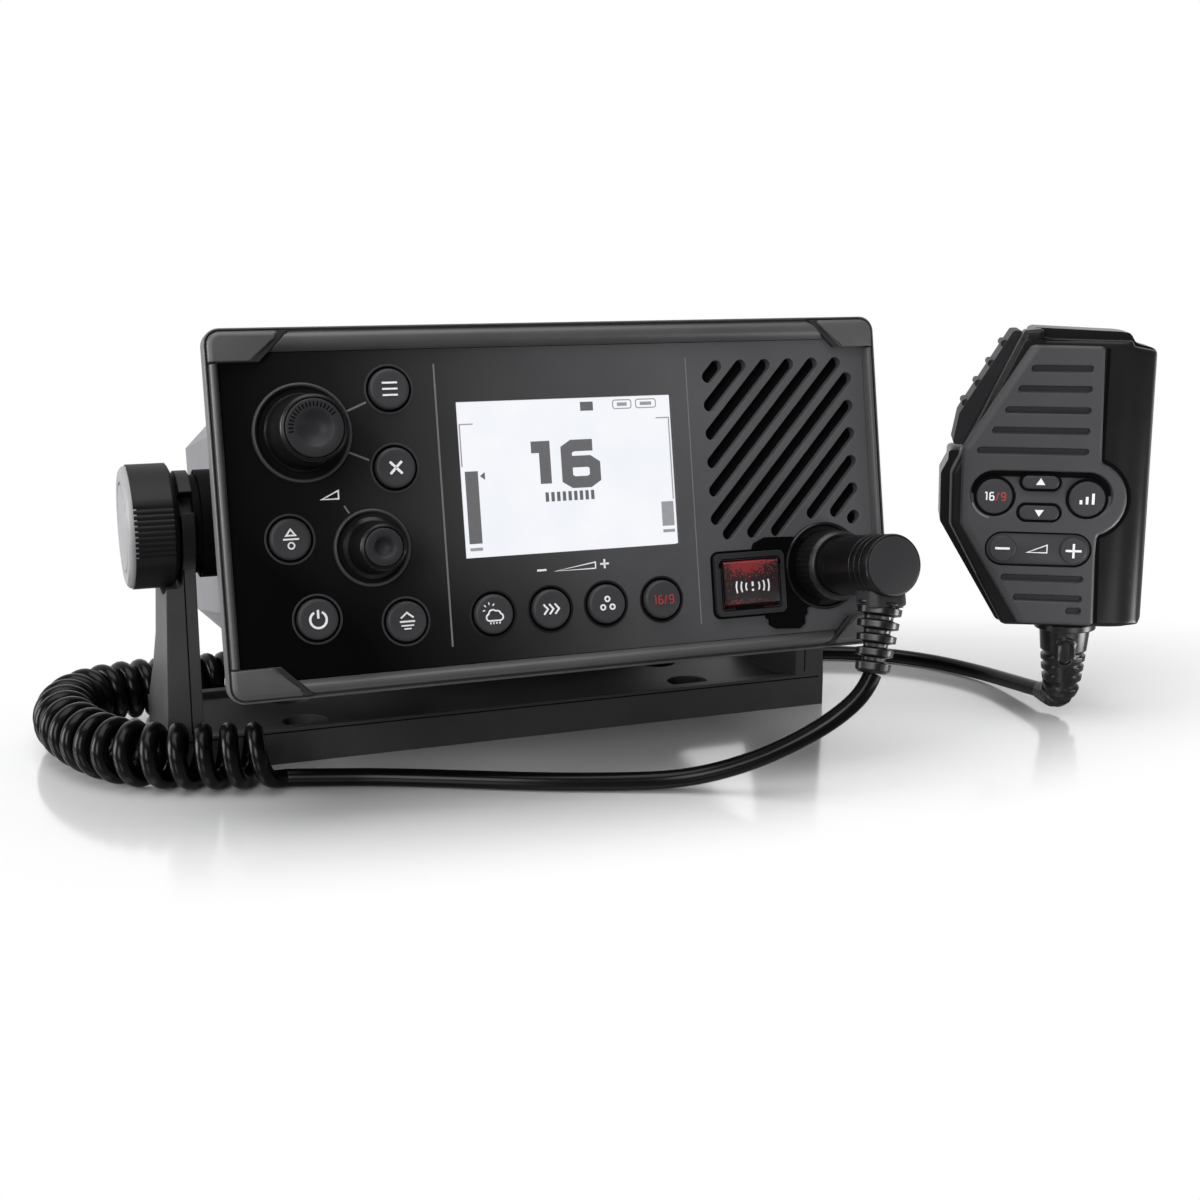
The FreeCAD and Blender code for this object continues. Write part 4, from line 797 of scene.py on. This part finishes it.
digitPaths = {  # one line in a cell 1 wide and 2 high
    "1": [(0.15, 2), (0.62, 2), (0.62, 0)],
    "6": [(0.95, 2), (0.22, 2), (0, 1.78), (0, 0.22), (0.22, 0), (0.78, 0), (1, 0.22), (1, 0.9), (0.8, 1.12),
          (0.2, 1.12)],
    "9": [(0.05, 0), (0.78, 0), (1, 0.22), (1, 1.78), (0.78, 2), (0.22, 2), (0, 1.78), (0, 1.1), (0.2, 0.88),
          (0.8, 0.88)],
    "/": [(0.1, -0.1), (0.7, 2.1)],
}


def number(text, left, low, cell, width, front, back, gap=0.45, tall=1.0):  # plain block figures
    starts = [left + place * cell * (1 + gap) for place in range(len(text))]
    return [stroke(np.array(digitPaths[figure]) * (cell, cell * tall) + (start, low), width, front, back)
            for figure, start in zip(text, starts)]


def makeKeys():
    top = keyShape["panel"] - keyShape["proud"]
    r, edge = keyShape["radius"], keyShape["round"]
    profile = [(6.2, 5.9), (6.2, 4.7), (r, 4.6), (r, top + edge)]
    profile += [(r - edge * (1 - math.cos(a)), top + edge * (1 - math.sin(a)))
                for a in np.radians([20, 45, 70, 90])]
    profile += [(3.6, top + 0.05), (2.0, top + 0.16), (0.4, top + 0.2)]
    signs = keySigns()
    front, back = top - 0.02, top + 0.3
    for key, (x, z) in keys.items():
        name = pieceName(key.replace("key_", ""))
        onRadio(name + "Key", "key", "key_plastic", [turned(profile, (x, z), 56)], key, body=key)
        marks = number("16/9", x - 2.75, z - 1.1, 1.05, 0.36, front, back)
        if key in signs:
            marks = strokes(signs[key], front, back, at=(x, z))
        onRadio(name + "Mark", "white" if key in signs else "redInk", "key_plastic", marks, body=key)


makeKeys()
print("keys made")


# ---- knobs ----
def makeKnobs():
    rounding = np.radians([10, 35, 60, 90])
    for name, knob in knobs.items():
        end = keyShape["panel"] - knob["proud"]
        f, skirt, dish = knob["front"], knob["skirt"], knob["dish"]
        shell = [(3, 12.7), (3, 0.9), (skirt, 0.9), (skirt, 0.3), (skirt - 0.3, 0.0), (f + 1.2, -0.5),
                 (f + 1.0, -1.2), (f + 0.5, end + 4.0), (f + 0.35, end + 1.2)]
        shell += [(f + 0.35 - 0.9 * (1 - math.cos(a)), end + 0.95 * (1 - math.sin(a)) + 0.15)
                  for a in rounding]
        shell += [(f - 0.75, end + 2.4), (0.3, end + 2.4)]
        cap = [(1, end + 2.6), (f - 0.8, end + 2.6), (f - 0.8, end + 0.25), (f - 1.0, end + 0.06),
               (f - 1.3, end)]
        cap += [(dish + 0.4, end), (dish, end + 0.2), (dish * 0.8, end + 1.0), (dish * 0.55, end + 1.6),
                (dish * 0.3, end + 1.95), (0.3, end + 2.0)]
        body = name + "_knob"
        onRadio(name + "Knob", "knob", "key_plastic", [turned(shell, knob["at"], 96)], body, body=body)
        onRadio(name + "KnobFace", "knobFace", "key_plastic", [turned(cap, knob["at"], 96)], body=body)
        if name == "channel":
            ticks = [([(math.cos(a) * r, math.sin(a) * r) for r in (5.0, 6.2)], 0.36)
                     for a in np.radians(np.arange(35, 190, 9))]
            onRadio("channelTicks", "matteBlack", "key_plastic",
                    strokes(ticks, end - 0.01, end + 0.3, at=knob["at"]), body=body)


makeKnobs()
print("knobs made")

# ---- display ----
screen = {"front": 2.68, "back": 2.9}


def makeDisplayMarks():
    dark = number("16", -11.3, 3.9, 7.6, 3.0, **screen, gap=0.395, tall=0.618)
    dark.append(prism([(-24.1, 6.7), (-22.8, 7.7), (-22.8, 5.7)], **screen))
    lines = [([(-26.3, -10.2), (-26.3, 8.0)], 3.4), ([(3.9, 23.2), (7.4, 23.2)], 2.3)]
    lines += [([(x, 1.7), (x, -0.7)], 0.9) for x in np.linspace(-6.6, 5.8, 9)]
    onRadio("displayFigures", "lcdInk", "display", dark + strokes(lines, **screen))
    pale = [([(26.5, -8.8), (26.5, -2.4)], 3.4), ([(-28.6, 9.2), (-28.6, 19.8), (-25.1, 19.8)], 0.32),
            ([(28.3, -1.9), (28.3, 19.5), (24.7, 19.5)], 0.32), ([(-27.9, -11.6), (-24.6, -11.6)], 0.8),
            ([(24.9, -10.1), (28.2, -10.1)], 0.8)]
    for left, right in ((12.9, 18.0), (19.3, 24.9)):
        pale.append((roundCorners(rectangle(left, right, 22.3, 24.5), 0.6, 4), 0.28, True))
        pale.append(([(left + 1.2, 23.4), (right - 1.2, 23.4)], 0.9))
    onRadio("displayPaleFigures", "lcdPale", "display", strokes(pale, **screen))


makeDisplayMarks()
print("display made")

# ---- distress cover ----
cover = {
    "left": 40.35, "right": 56.25, "low": -31.0, "high": -20.35, "front": -0.4, "back": 0.7, "barrel": 0.9,
    "mark": (48.3, -26.3), "frameOutside": (37.75, 58.85, -34.25, -16.85),
    "frameInside": (39.65, 56.95, -32.35, -18.75),
    "flap": [(49.4, -16.9), (50.3, -15.0), (53.6, -13.6), (61.5, -13.9), (69, -15.5), (69, -32.5),
             (64.9, -33.4), (65.0, -35.0), (64.1, -35.6), (64.1, -37.5), (62.4, -38.8), (55.3, -38.3),
             (53.4, -37.1), (53.6, -35.9), (52.6, -35.2), (52.7, -33.4), (59, -32.5), (59, -17.5)],
}


def makeCover():
    # a leaf with rounded edges and its hinge barrel along the top, the rubber flap and the frame's lines
    outline = roundCorners(rectangle(cover["left"], cover["right"], cover["low"], cover["high"]), 0.7, 6)
    front, back, (x, z) = cover["front"], cover["back"], cover["mark"]
    leaf = stack(outline, [(back, 0.15), (back - 0.15, 0), (front + 0.4, 0), (front + 0.12, 0.14),
                           (front, 0.5)])
    reach = np.linspace(cover["left"], cover["right"], 9)[:, None]
    turn = np.arange(20) / 20 * tau
    barrel = np.stack(np.broadcast_arrays(reach, back + cover["barrel"] * np.cos(turn),
                                          cover["high"] + cover["barrel"] * np.sin(turn)), -1)
    onRadio("distressLeaf", "cover", "distress_smoke", [leaf, surface(barrel)], "distress_cover",
            body="distress_cover")
    marks = [(arc((x, z), radius, start, start + 2 * half, 10), 0.42)
             for radius, half in ((2.0, 30), (3.4, 24), (4.8, 19)) for start in (-half, 180 - half)]
    marks += [([(x, z), (x, z + 1.2)], 0.6), ([(x, z - 1.3), (x, z - 0.7)], 0.6)]
    onRadio("distressMark", "white", "distress_smoke", strokes(marks, front - 0.04, front + 0.1),
            body="distress_cover")
    lines = [stroke(roundCorners(rectangle(*cover["frameOutside"]), 1.9, 6), 0.6, 1.9, 2.1, closed=True),
             stroke(roundCorners(rectangle(*cover["frameInside"]), 0.8, 6), 0.3, 0.36, 0.6, closed=True),
             stroke([(43.4, -31.85), (51.6, -31.85)], 0.9, 0.25, 0.6)]
    plate = prism(roundCorners(cover["flap"], 0.5, 4), 1.1, 2.05)
    onRadio("distressFlapAndLines", "matteBlack", "gloss_black", [plate, *lines])


makeCover()
print("cover made")

# ---- socket and plug ----
plug = {"at": (71.0, -22.4), "end": -35.0, "stub": 10.6, "stubEnd": -33.0, "lean": 12.0, "bootLength": 18.2,
        "grooves": (-25.9, -28.6, -31.3)}


def ringRibs(angle, radius, depth):  # shallow grip ribs round the lock ring's outside
    outside = (radius > 9.3) & (depth > -7.2) & (depth < 0.3)
    return np.where(outside, -0.22 * (0.5 + 0.5 * np.cos(angle * 40)) ** 2, 0)


def makePlug():
    at, end, half = plug["at"], plug["end"], plug["stub"] / 2
    socket = [(9.5, 11.5), (9.5, 2.2), (11.8, 2.2), (11.8, 0.95), (11.5, 0.65), (11.1, 0.62), (10.85, 0.85),
              (10.75, 1.3), (7.0, 1.3), (7.0, 11.5)]
    onRadio("micSocket", "glossBlack", "gloss_black", [turned(socket, at, 80, rowsWrap=True)], "mic_socket")
    ring = [(7.75, 0.5), (9.2, 0.5), (9.5, 0.1), (9.5, -6.9), (9.35, -7.5), (8.9, -8.1), (8.4, -8.5),
            (7.75, -8.5)]
    lockRing = onRadio("plugLockRing", "satinBlack", "cord_rubber",
                       [turned(ring, at, 160, ripple=ringRibs, rowsWrap=True)], "plug_lock_ring",
                       body="plug_lock_ring")
    barrel = [(6.8, 5.6), (6.8, -5.9), (7.6, -6.0), (7.6, -11.2), (7.9, -11.5), (8.0, -11.9),
              (7.85, -12.4), (7.85, -12.8)]
    for start in plug["grooves"]:  # three fine grooves before the cap
        barrel += [(8.0, start), (7.45, start - 0.2), (7.45, start - 0.6), (8.0, start - 0.8)]
    barrel += [(8.0, end + 0.7), (7.8, end + 0.2), (7.4, end), (3, end), (0.4, end)]
    plugBody = onRadio("plugBarrel", "plug", "cord_rubber", [turned(barrel, at, 96)], "plug_body")
    face = turned([(7.3, end + 0.05), (7.3, end - 0.05), (7.0, end - 0.12), (0.4, end - 0.12)], at, 80)
    depth = end + 2.2 + half
    stubLine = roundCorners(rectangle(-half, half, -half, half), 2.6, 6)
    rows = []
    for z, inset in ((-24, 0.4), (-29.5, 0.1), (-31.2, 0.0), (-32.6, 0.0), (plug["stubEnd"], 0.35)):
        line = stubLine + inset * inwards(stubLine)
        rows.append(np.stack([at[0] + line[:, 0], depth + line[:, 1], 0 * line[:, 0] + z], -1))
    onRadio("plugCapFace", "plugCap", "cord_rubber", [face, surface(np.array(rows))])
    boot = onRadio("plugStrainRelief", "plug", "cord_rubber", [ribbedBoot(depth)], "plug_boot")
    return [plugBody, lockRing, boot]


def ribbedBoot(depth):
    # a leaning rounded stem: its radius falls towards the end and dips at notches on its sides
    lean, length = math.radians(plug["lean"]), plug["bootLength"]
    along = np.linspace(0, length, 150)[:, None]
    angle = (np.arange(48) / 48 * tau)[None]
    squarish = 0.92 + 0.1 * np.cos(2 * angle) ** 2
    notch = ease(np.cos((along - 0.4) / 3.55 * tau), -0.15, 0.75) * 1.9
    rails = 0.3 + 0.7 * np.abs(np.cos(angle)) ** 0.7
    radius = (6.1 - 1.5 * along / length) * squarish
    radius = radius - notch * rails * ease(along, 0.5, 1.2) * (1 - ease(along, length - 2, length - 1))
    radius = radius - np.clip(along - length + 0.8, 0, 1) * 1.2
    x = radius * np.cos(angle)
    y = radius * np.sin(angle) * 0.92
    z = -along + 0 * angle
    across, down = x * math.cos(lean) + z * math.sin(lean), z * math.cos(lean) - x * math.sin(lean)
    leaned = np.stack([across, y, down], -1)
    return surface(leaned + (plug["at"][0], depth, plug["stubEnd"] + 1.1))


plugPieces = makePlug()
print("plug made")

# ---- bracket knobs ----
clamp = {"radius": 16.7, "inner": 93.7, "outer": 107.0, "height": 66.9, "ribbedAt": 57.0, "ribDepth": 0.42}


def gripRim(angle, radius, ribDepth):
    # three smooth cheeks alternate with three ribbed bands
    third = np.mod(angle - math.radians(clamp["ribbedAt"]) + tau / 6, tau / 3) - tau / 6
    ribbed = np.abs(third) < math.radians(24)
    ribs = -ribDepth * (0.5 + 0.5 * np.cos(angle * 72)) * ribbed
    cheek = np.clip(0.62 - 0.62 * ((np.abs(third) - tau / 6) / math.radians(30)) ** 2, 0, 1) * ~ribbed
    return np.where(radius > 15, ribs - cheek, 0)


def makeClampKnobs():
    inner, outer, r = clamp["inner"], clamp["outer"], clamp["radius"]
    grip = [(3, 83.5), (3, inner), (13.2, inner), (14, inner + 0.1), (15.9, inner + 0.9), (r, inner + 1.5),
            (r, outer - 1.7), (r - 0.5, outer - 1.7)]
    lid = [(3, outer - 2.5), (r - 0.3, outer - 2.5), (r - 0.3, outer - 1.5), (r - 0.5, outer - 0.9),
           (r - 1.1, outer - 0.3), (r - 1.9, outer), (12.3, outer), (12.1, outer - 0.5), (11.6, outer - 0.5),
           (11.4, outer), (6, outer), (0.4, outer)]
    angle = (np.arange(216) / 216 * tau)[None]
    for side, name in ((-1, "left"), (1, "right")):
        body = name + "_bracket_knob"
        for part, profile, finish, ribDepth in (("ClampGrip", grip, "clamp", clamp["ribDepth"]),
                                                ("ClampLid", lid, "clampFace", 0)):
            radius, reach = np.array(profile).T[:, :, None]
            radius = radius + gripRim(angle, radius, ribDepth)
            grid = np.stack(np.broadcast_arrays(side * reach, radius * np.cos(angle),
                                                clamp["height"] + radius * np.sin(angle)), -1)
            addPiece(name + part, body, finish, "hub_plastic", [surface(grid)], rowPlace, body)


makeClampKnobs()
print("bracket knobs made")

# ---- bracket ----
seams = {"half": 97.9, "level": 9.0, "arm": 92.9, "armTop": 59.0, "front": -10.0}
seamLines = [[(-seams["half"], seams["level"]), (seams["half"], seams["level"])]]
seamLines += [[(side * seams["arm"], 11), (side * seams["arm"], seams["armTop"])] for side in (-1, 1)]
addPiece("bracketSeams", "bracket", "matteBlack", "bracket_plastic",
         strokes([(line, 0.36) for line in seamLines], seams["front"] - 0.04, seams["front"] + 0.3),
         rowPlace)
print("bracket seams made")

# ---- handset ----
handset = {
    "front": 12.0, "back": 16.0, "split": 4.0, "face": 13.6, "rearRound": 3.2, "frontRound": 1.7,
    "rearLine": [(-20.5, 29.5), (-38.5, 59.5), (-38.8, 74), (-36.8, 78), (-36.8, 81), (-27.4, 81),
                 (-12, 111.4), (-17, 117), (12.8, 115.7), (14.6, 112.6), (20.6, 111), (21, 30)],
    "frontLine": [(-19.5, 29.9), (-36, 59.8), (-36.3, 75), (-33.4, 81.6), (-19.2, 112.2), (-17.2, 116.4),
                  (-12, 116.8), (-11.5, 114), (12.8, 113.6), (13.6, 111.9), (20.4, 110.6), (20.8, 30.4)],
    "leftEdge": [(-15.1, 31), (-33, 59.9), (-33.3, 82.6), (-15.2, 112.4)],
    "slots": [(105.7, -15, 2.2), (99.9, -18.3, 2.2), (93.8, -21.7, 2.2), (87.9, -25.1, 2.2), (82, -29, 2.2),
              (44.7, -20.6, 2.8), (38.8, -16.8, 2.8), (35.2, -1.6, 2.8)],
    "volumeBed": (-20.5, -0.3, 53.3),
}
handsetKeys = {  # left and right centre, height and radius
    "handset_key_16": (-23.5, -23.5, 68.6, 5.2),
    "handset_key_power": (2.6, 2.6, 68.4, 5.2),
    "channel_up_key": (-14.1, -7.3, 73, 1.9),
    "channel_down_key": (-14.3, -7.1, 64.1, 2.1),
    "volume_down_key": (-20.5, -20.5, 53.4, 3.9),
    "volume_up_key": (-0.4, -0.4, 53.2, 3.9),
}
handsetArrows = {
    "channel_up_key": [(-12.0, 72.3), (-9.4, 72.3), (-10.7, 74.3)],
    "channel_down_key": [(-12.0, 65.0), (-10.7, 63.0), (-9.4, 65.0)],
}
handsetSigns = {
    "handset_key_power": [([(x, 66.9), (x, 66.9 + tall)], 0.75)
                          for x, tall in ((0.9, 1.2), (2.6, 2.2), (4.3, 3.2))],
    "volume_down_key": [([(-22.6, 53.4), (-18.4, 53.4)], 0.65)],
    "volume_up_key": [([(-2.6, 53.2), (1.9, 53.2)], 0.65), ([(-0.35, 51.1), (-0.35, 55.3)], 0.65)],
}


def makeShells():
    split, front = handset["split"], handset["front"]
    line = roundCorners(handset["rearLine"], 2.2, 5)
    across, z = spans(line, 260, 100)
    height = roundedDrop(across, z, line, handset["rearRound"]) - handset["back"]
    onHandset("rearShell", "shell", "gloss_black", [heightPlate(across, z, height, split - 0.1)],
              "handset_rear_shell")
    line = roundCorners(handset["frontLine"], [2, 3, 3, 2, 1, 1, 0.8, 0.8, 0.5, 0.5, 1, 1.5], 6)
    across, z = spans(line, 220, 90)
    fall = np.clip((across - 8.6) / 12.3, 0, 1)  # the right side is a quarter of an upright cylinder
    height = front - (front - split - 0.5) * (1 - np.sqrt(1 - fall ** 2))
    height = np.maximum(height - roundedDrop(across, z, line, handset["frontRound"]), split + 0.3)
    onHandset("frontShell", "shell", "gloss_black", [heightPlate(across, z, height, split + 0.15)],
              "handset_front_shell")


def makeHandsetFace():
    # height over the face's outline: a rounded rim, slots, key gaps and a scoop round the upper keys
    left = handset["leftEdge"]
    line = roundCorners([*left, (5, 112.1), *arc((2.6, 68.3), 11.1, 72, -72, 12), (5.8, 52), (6.4, 31)],
                        [1.5, 3, 3, 2, 1, 1.5, *[0.5] * 10, 1.5, 2, 1], 5)
    across, z = spans(line, 300, 150)
    inside = outlineDistance(across, z, line)
    leftRim = outlineDistance(across, z, [*left, (-33.4, 82.6), (-33.1, 59.9)])
    height = 1.6 - 0.75 * (1 - ease(inside, 0, 0.9)) ** 2 - 0.5 * (1 - ease(leftRim, 0, 2.6))
    for level, start, end in handset["slots"]:
        gap = capsuleDistance(across, z, start + 0.95, end - 0.95, level, 0.95)
        height = height - 1.25 * ease(-gap, -0.12, 0.22)
    scoop = capsuleDistance(across, z, -23.5, 2.6, 69.2, 7.1)
    height = height - ease(-scoop, -0.2, 0.5) * 1.5 * ease(z, 62.0, 73.0)
    for start, end, level, radius in handsetKeys.values():
        gap = capsuleDistance(across, z, start, end, level, radius + 0.6)
        height = height - 0.9 * ease(-gap, -0.12, 0.15)
    bed = capsuleDistance(across, z, *handset["volumeBed"], 4.75)
    height = np.maximum(height - 0.5 * ease(-bed, -0.15, 0.2), 0.12)
    onHandset("handsetFacePlate", "handsetFace", "handset_panel",
              [heightPlate(across, z, handset["front"] + height, handset["front"] - 0.4)], "handset_face")


def capsule(left, right, z, radius, last=90):  # the outline of a lying pill; last is where its arcs end
    return np.vstack([arc((right, z), radius, -90, last, 20), arc((left, z), radius, 90, 180 + last, 20)])


def makeHandsetKeys():
    front = -handset["face"]
    for key, (left, right, z, radius) in handsetKeys.items():
        outline = capsule(left, right, z, radius) if right > left else circle(radius, 48, (left, z))
        face = front - (0.5 if radius > 3 else 0.35) + (0.55 if radius > 5 else 0)
        shape = stack(outline, [(-9, 0), (face + 0.6, 0), (face + 0.25, 0.1), (face + 0.05, 0.35),
                                (face, 0.8)])
        onHandset(pieceName(key) + "Key", "handsetKey", "handset_keys", [shape], key, body=key)
        near, far = face - 0.03, face + 0.08
        marks = strokes(handsetSigns.get(key, []), near, far)
        if key in handsetArrows:
            marks = [prism(handsetArrows[key], near, far)]
        if marks:
            onHandset(pieceName(key) + "Mark", "white", "handset_keys", marks, body=key)
    for name, finish, text, left, width in (("handset16Mark", "white", "16", -26.4, 0.4),
                                            ("handset9Mark", "redInk", "/9", -23.1, 0.42)):
        figures = number(text, left, 67.5, 1.1, width, front + 0.01, front + 0.3)
        onHandset(name, finish, "handset_keys", figures, body="handset_key_16")


def makeFaceDetails():
    front, bed = -handset["face"], handset["volumeBed"]
    shape = stack(capsule(*bed, 4.6), [(front + 1.2, 0), (front + 0.38, 0), (front + 0.3, 0.15)])
    onHandset("volumeBed", "handsetKey", "handset_panel", [shape])
    # painted shade: dark grey strips on the floors of the slots
    slots = [([(left + 0.3, z), (right - 0.3, z)], 1.6) for z, left, right in handset["slots"]]
    onHandset("slotFloorShade", "strip", "handset_panel", strokes(slots, front + 1.15, front + 1.5))
    gaps = [(capsule(left, right, z, radius + 0.36, last=89), 0.62, True)
            for key, (left, right, z, radius) in handsetKeys.items() if not key.startswith("volume")]
    around = strokes([(capsule(*bed, 4.85, last=89), 0.42, True)], front - 0.04, front + 0.8)
    onHandset("faceGaps", "matteBlack", "handset_panel", strokes(gaps, front + 0.22, front + 1.5) + around)
    # painted shade: a black crescent along the upper wall of the scoop round the upper keys; the groove is a
    # dark line beside the face plate's right edge
    shade = np.vstack([arc((2.6, 69.2), 6.15, 0, 90, 12), arc((-23.5, 69.2), 6.15, 90, 200, 14)])
    groove = np.vstack([[(6.2, 111.5)], arc((2.6, 68.3), 11.9, 71, -71, 20), [(6.7, 52), (7.3, 31.6)]])
    onHandset("faceShades", "matteBlack", "handset_panel",
              [stroke(shade, 1.9, front + 1.1, front + 1.75),
               stroke(groove, 0.9, front + 1.45, front + 2.2)])
    # painted highlight: a grey arc on the lower left edge of the scoop, where it catches the light
    lit = stroke(arc((-23.5, 68.8), 6.6, 200, 258, 12), 0.45, front - 0.02, front + 0.4)
    onHandset("recessEdgeHighlight", "grey", "handset_panel", [lit])
    wedge = stroke([(-13.4, 52.3), (-7.8, 54.6), (-7.8, 52.3)], 0.32, front + 0.26, front + 0.5, closed=True)
    onHandset("volumeSign", "white", "handset_panel", [wedge])


def makeBoot():
    # a neck that bends from upright to lying along the floor, ribbed below, with an oval sunk into its front
    straight = np.linspace(29.2, 11.2, 90)
    turn = np.radians(np.linspace(0, 90, 30))[1:]
    tip = np.linspace(6.2, 10.2, 10)[1:]
    y = np.concatenate([0 * straight, 6.2 - 6.2 * np.cos(turn), tip])
    z = np.concatenate([straight, 11.2 - 6.2 * np.sin(turn), 5.0 + 0 * tip])
    path = np.stack([0 * y, y, z], -1)
    reach = np.insert(np.cumsum(np.linalg.norm(np.diff(path, axis=0), axis=1)), 0, 0)[:, None]
    angle = (np.arange(112) / 112 * tau)[None]
    radius = np.interp(reach, [0, 1.8, 2.0, 13, 20, 24, 27, 31.7], [9.0, 9.0, 7.4, 6.4, 5.5, 4.7, 3.5, 2.75])
    aside = angle - math.pi + math.radians(stand["handsetTurn"])
    wave = ease(np.cos((reach - 9.4) / 3.1 * tau), -0.1, 0.8)
    sides = np.where(reach < 17, np.abs(np.sin(aside)) ** 3, 0.25 + 0.75 * np.abs(np.sin(aside)) ** 0.8)
    radius = radius - 1.1 * wave * sides * ease(reach, 7.5, 8.5) * (1 - ease(reach, 25, 27))
    oval = np.hypot(np.abs(aside) * radius, np.maximum(np.abs(reach - 8.3) - 1.9, 0)) - 2.2
    radius = radius + 0.4 * (1 - ease(np.abs(oval), 0.25, 0.8)) - 0.55 * ease(-oval, 0.1, 0.7)
    addPiece("handsetStrainRelief", "handset", "plug", "cord_rubber",
             [tube(path, radius, (1, 0, 0), sides=112)], placeMatrix((*stand["handset"], 0)), "handset_boot")


makeShells()
makeHandsetFace()
makeHandsetKeys()
makeFaceDetails()
makeBoot()
print("handset made")

# ---- finishes on the pieces that stay as they are ----
keptFinishes = {
    "panel": ["face_panel"], "window": ["screen_lens"], "display": ["screen_module"],
    "strip": ["distress_surround"],
    "red": ["distress_button"], "case": ["rear_case"], "nickel": ["antenna_socket"], "plug": ["power_gland"],
    "bracket": ["bracket"], "pressKey": ["ptt_key"], "glossBlack": ["hang_stud"],
    "satinBlack": ["rotary_encoders", "speaker_driver", "handset_speaker", "mic_capsule"],
    "steel": ["channel_plunger", "volume_plunger", "rf_shield", "case_screws", "handset_screws"],
    "silicone": ["key_mat", "front_gasket"], "board": ["key_board", "main_board", "handset_board"],
    "matteBlack": ["tilt_hubs", "friction_washers"],
}
for finish, nodes in keptFinishes.items():
    for place in [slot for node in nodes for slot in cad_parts[node].material_slots]:
        place.material = finishes[finish]
print("kept nodes finished")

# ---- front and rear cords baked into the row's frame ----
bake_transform(cords["front"])
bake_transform(cords["rear"])

# ---- floor and light ----
studio = {
    "floorTone": "#d6d6d7", "world": 0.3, "fadeStart": 0.062, "fadeEnd": 0.12,
    "middle": (0.025, 0.0, 0.0), "oval": (0.42, 1.0, 1.0),
}
lamps = {
    "overhead": {"at": (-0.1, -0.15, 0.9), "size": (0.9, 0.7), "power": 8.5},
    "frontLeft": {"at": (-0.75, -0.85, 0.45), "size": (0.4, 0.6), "power": 8.0},
    "left": {"at": (-0.9, 0.12, 0.25), "size": (0.4, 0.5), "power": 9.0},
    "rightCard": {"at": (0.30, -0.155, 0.004), "size": (0.04, 0.24), "power": 0.65, "lying": 51.3},
    "frontCard": {"at": (0.155, -0.26, 0.004), "size": (0.05, 0.3), "power": 0.28, "lying": 0.0},
}


def whiteStrength(tree, mirrored):  # 1 where a camera sees it, also through glass, and where it is mirrored
    camera, through = (tree.node("ShaderNodeLightPath", output=name)
                       for name in ("Is Camera Ray", "Is Transmission Ray"))
    seen = tree.maths("MAXIMUM", camera, through)
    return studio["world"] + seen * (1 - studio["world"]) + mirrored * (1 - studio["world"])


def addFloor():  # an oval of floor with shadow and reflection, which fades to white
    mesh = bpy.data.meshes.new("floor")
    mesh.from_pydata([(-2.5, -2.5, 0), (2.5, -2.5, 0), (2.5, 2.5, 0), (-2.5, 2.5, 0)], [], [(0, 1, 2, 3)])
    floor = bpy.data.objects.new("floor", mesh)
    bpy.context.collection.objects.link(floor)
    material, tree, position = newFinish("paleFloor")
    offset = tree.vectors("SUBTRACT", {0: position, 1: studio["middle"]})
    oval = tree.vectors("MULTIPLY", {0: offset, 1: studio["oval"]})
    fade = tree.vectors("LENGTH", {0: oval}, output=1).between(studio["fadeStart"], studio["fadeEnd"])
    plain = principled(tree, tone(studio["floorTone"]), 0.12 + position.noise(0.05) * 0.02, Metallic=0.35)
    behind = position.axis(1).between(0.05, 0.15)
    mirrored = tree.node("ShaderNodeLightPath", output="Is Glossy Ray") * behind
    strength = whiteStrength(tree, mirrored)
    white = tree.node("ShaderNodeEmission", None, {"Color": (1, 1, 1, 1), "Strength": strength})
    fade = tree.maths("MAXIMUM", fade, mirrored)
    tree.node("ShaderNodeMixShader", None, {0: fade, 1: plain, 2: white}).shown()
    mesh.materials.append(material)


def addLamps():
    for name, lamp in lamps.items():
        light = bpy.data.lights.new(name, "AREA")
        light.shape = "RECTANGLE"
        light.size, light.size_y = lamp["size"]
        light.energy = lamp["power"]
        holder = bpy.data.objects.new(name, light)
        holder.location = lamp["at"]
        holder.visible_camera = False
        aim = Vector((0, 0, 0.05)) - Vector(lamp["at"])
        holder.rotation_euler = aim.to_track_quat("-Z", "Y").to_euler()
        if "lying" in lamp:  # flat on the floor, shining up
            holder.rotation_euler = (math.pi, 0, math.radians(lamp["lying"]))
        bpy.context.collection.objects.link(holder)


def addWorld():  # an even level, and a pale wall behind the object that only reflections show
    world = bpy.data.worlds.new("studio")
    world.use_nodes = True
    world.node_tree.nodes.clear()
    tree = Wire(world.node_tree)
    towards = tree.node("ShaderNodeTexCoord").axis(1).between(0.2, 0.6)
    mirrored = tree.node("ShaderNodeLightPath", output="Is Glossy Ray") * towards
    strength = whiteStrength(tree, mirrored)
    background = tree.node("ShaderNodeBackground", None, {"Color": (1, 1, 1, 1), "Strength": strength})
    out = world.node_tree.nodes.new("ShaderNodeOutputWorld")
    world.node_tree.links.new(background.socket, out.inputs[0])
    bpy.context.scene.world = world


addFloor()
addLamps()
addWorld()
bpy.context.scene.view_settings.view_transform = "Standard"
print("studio made")
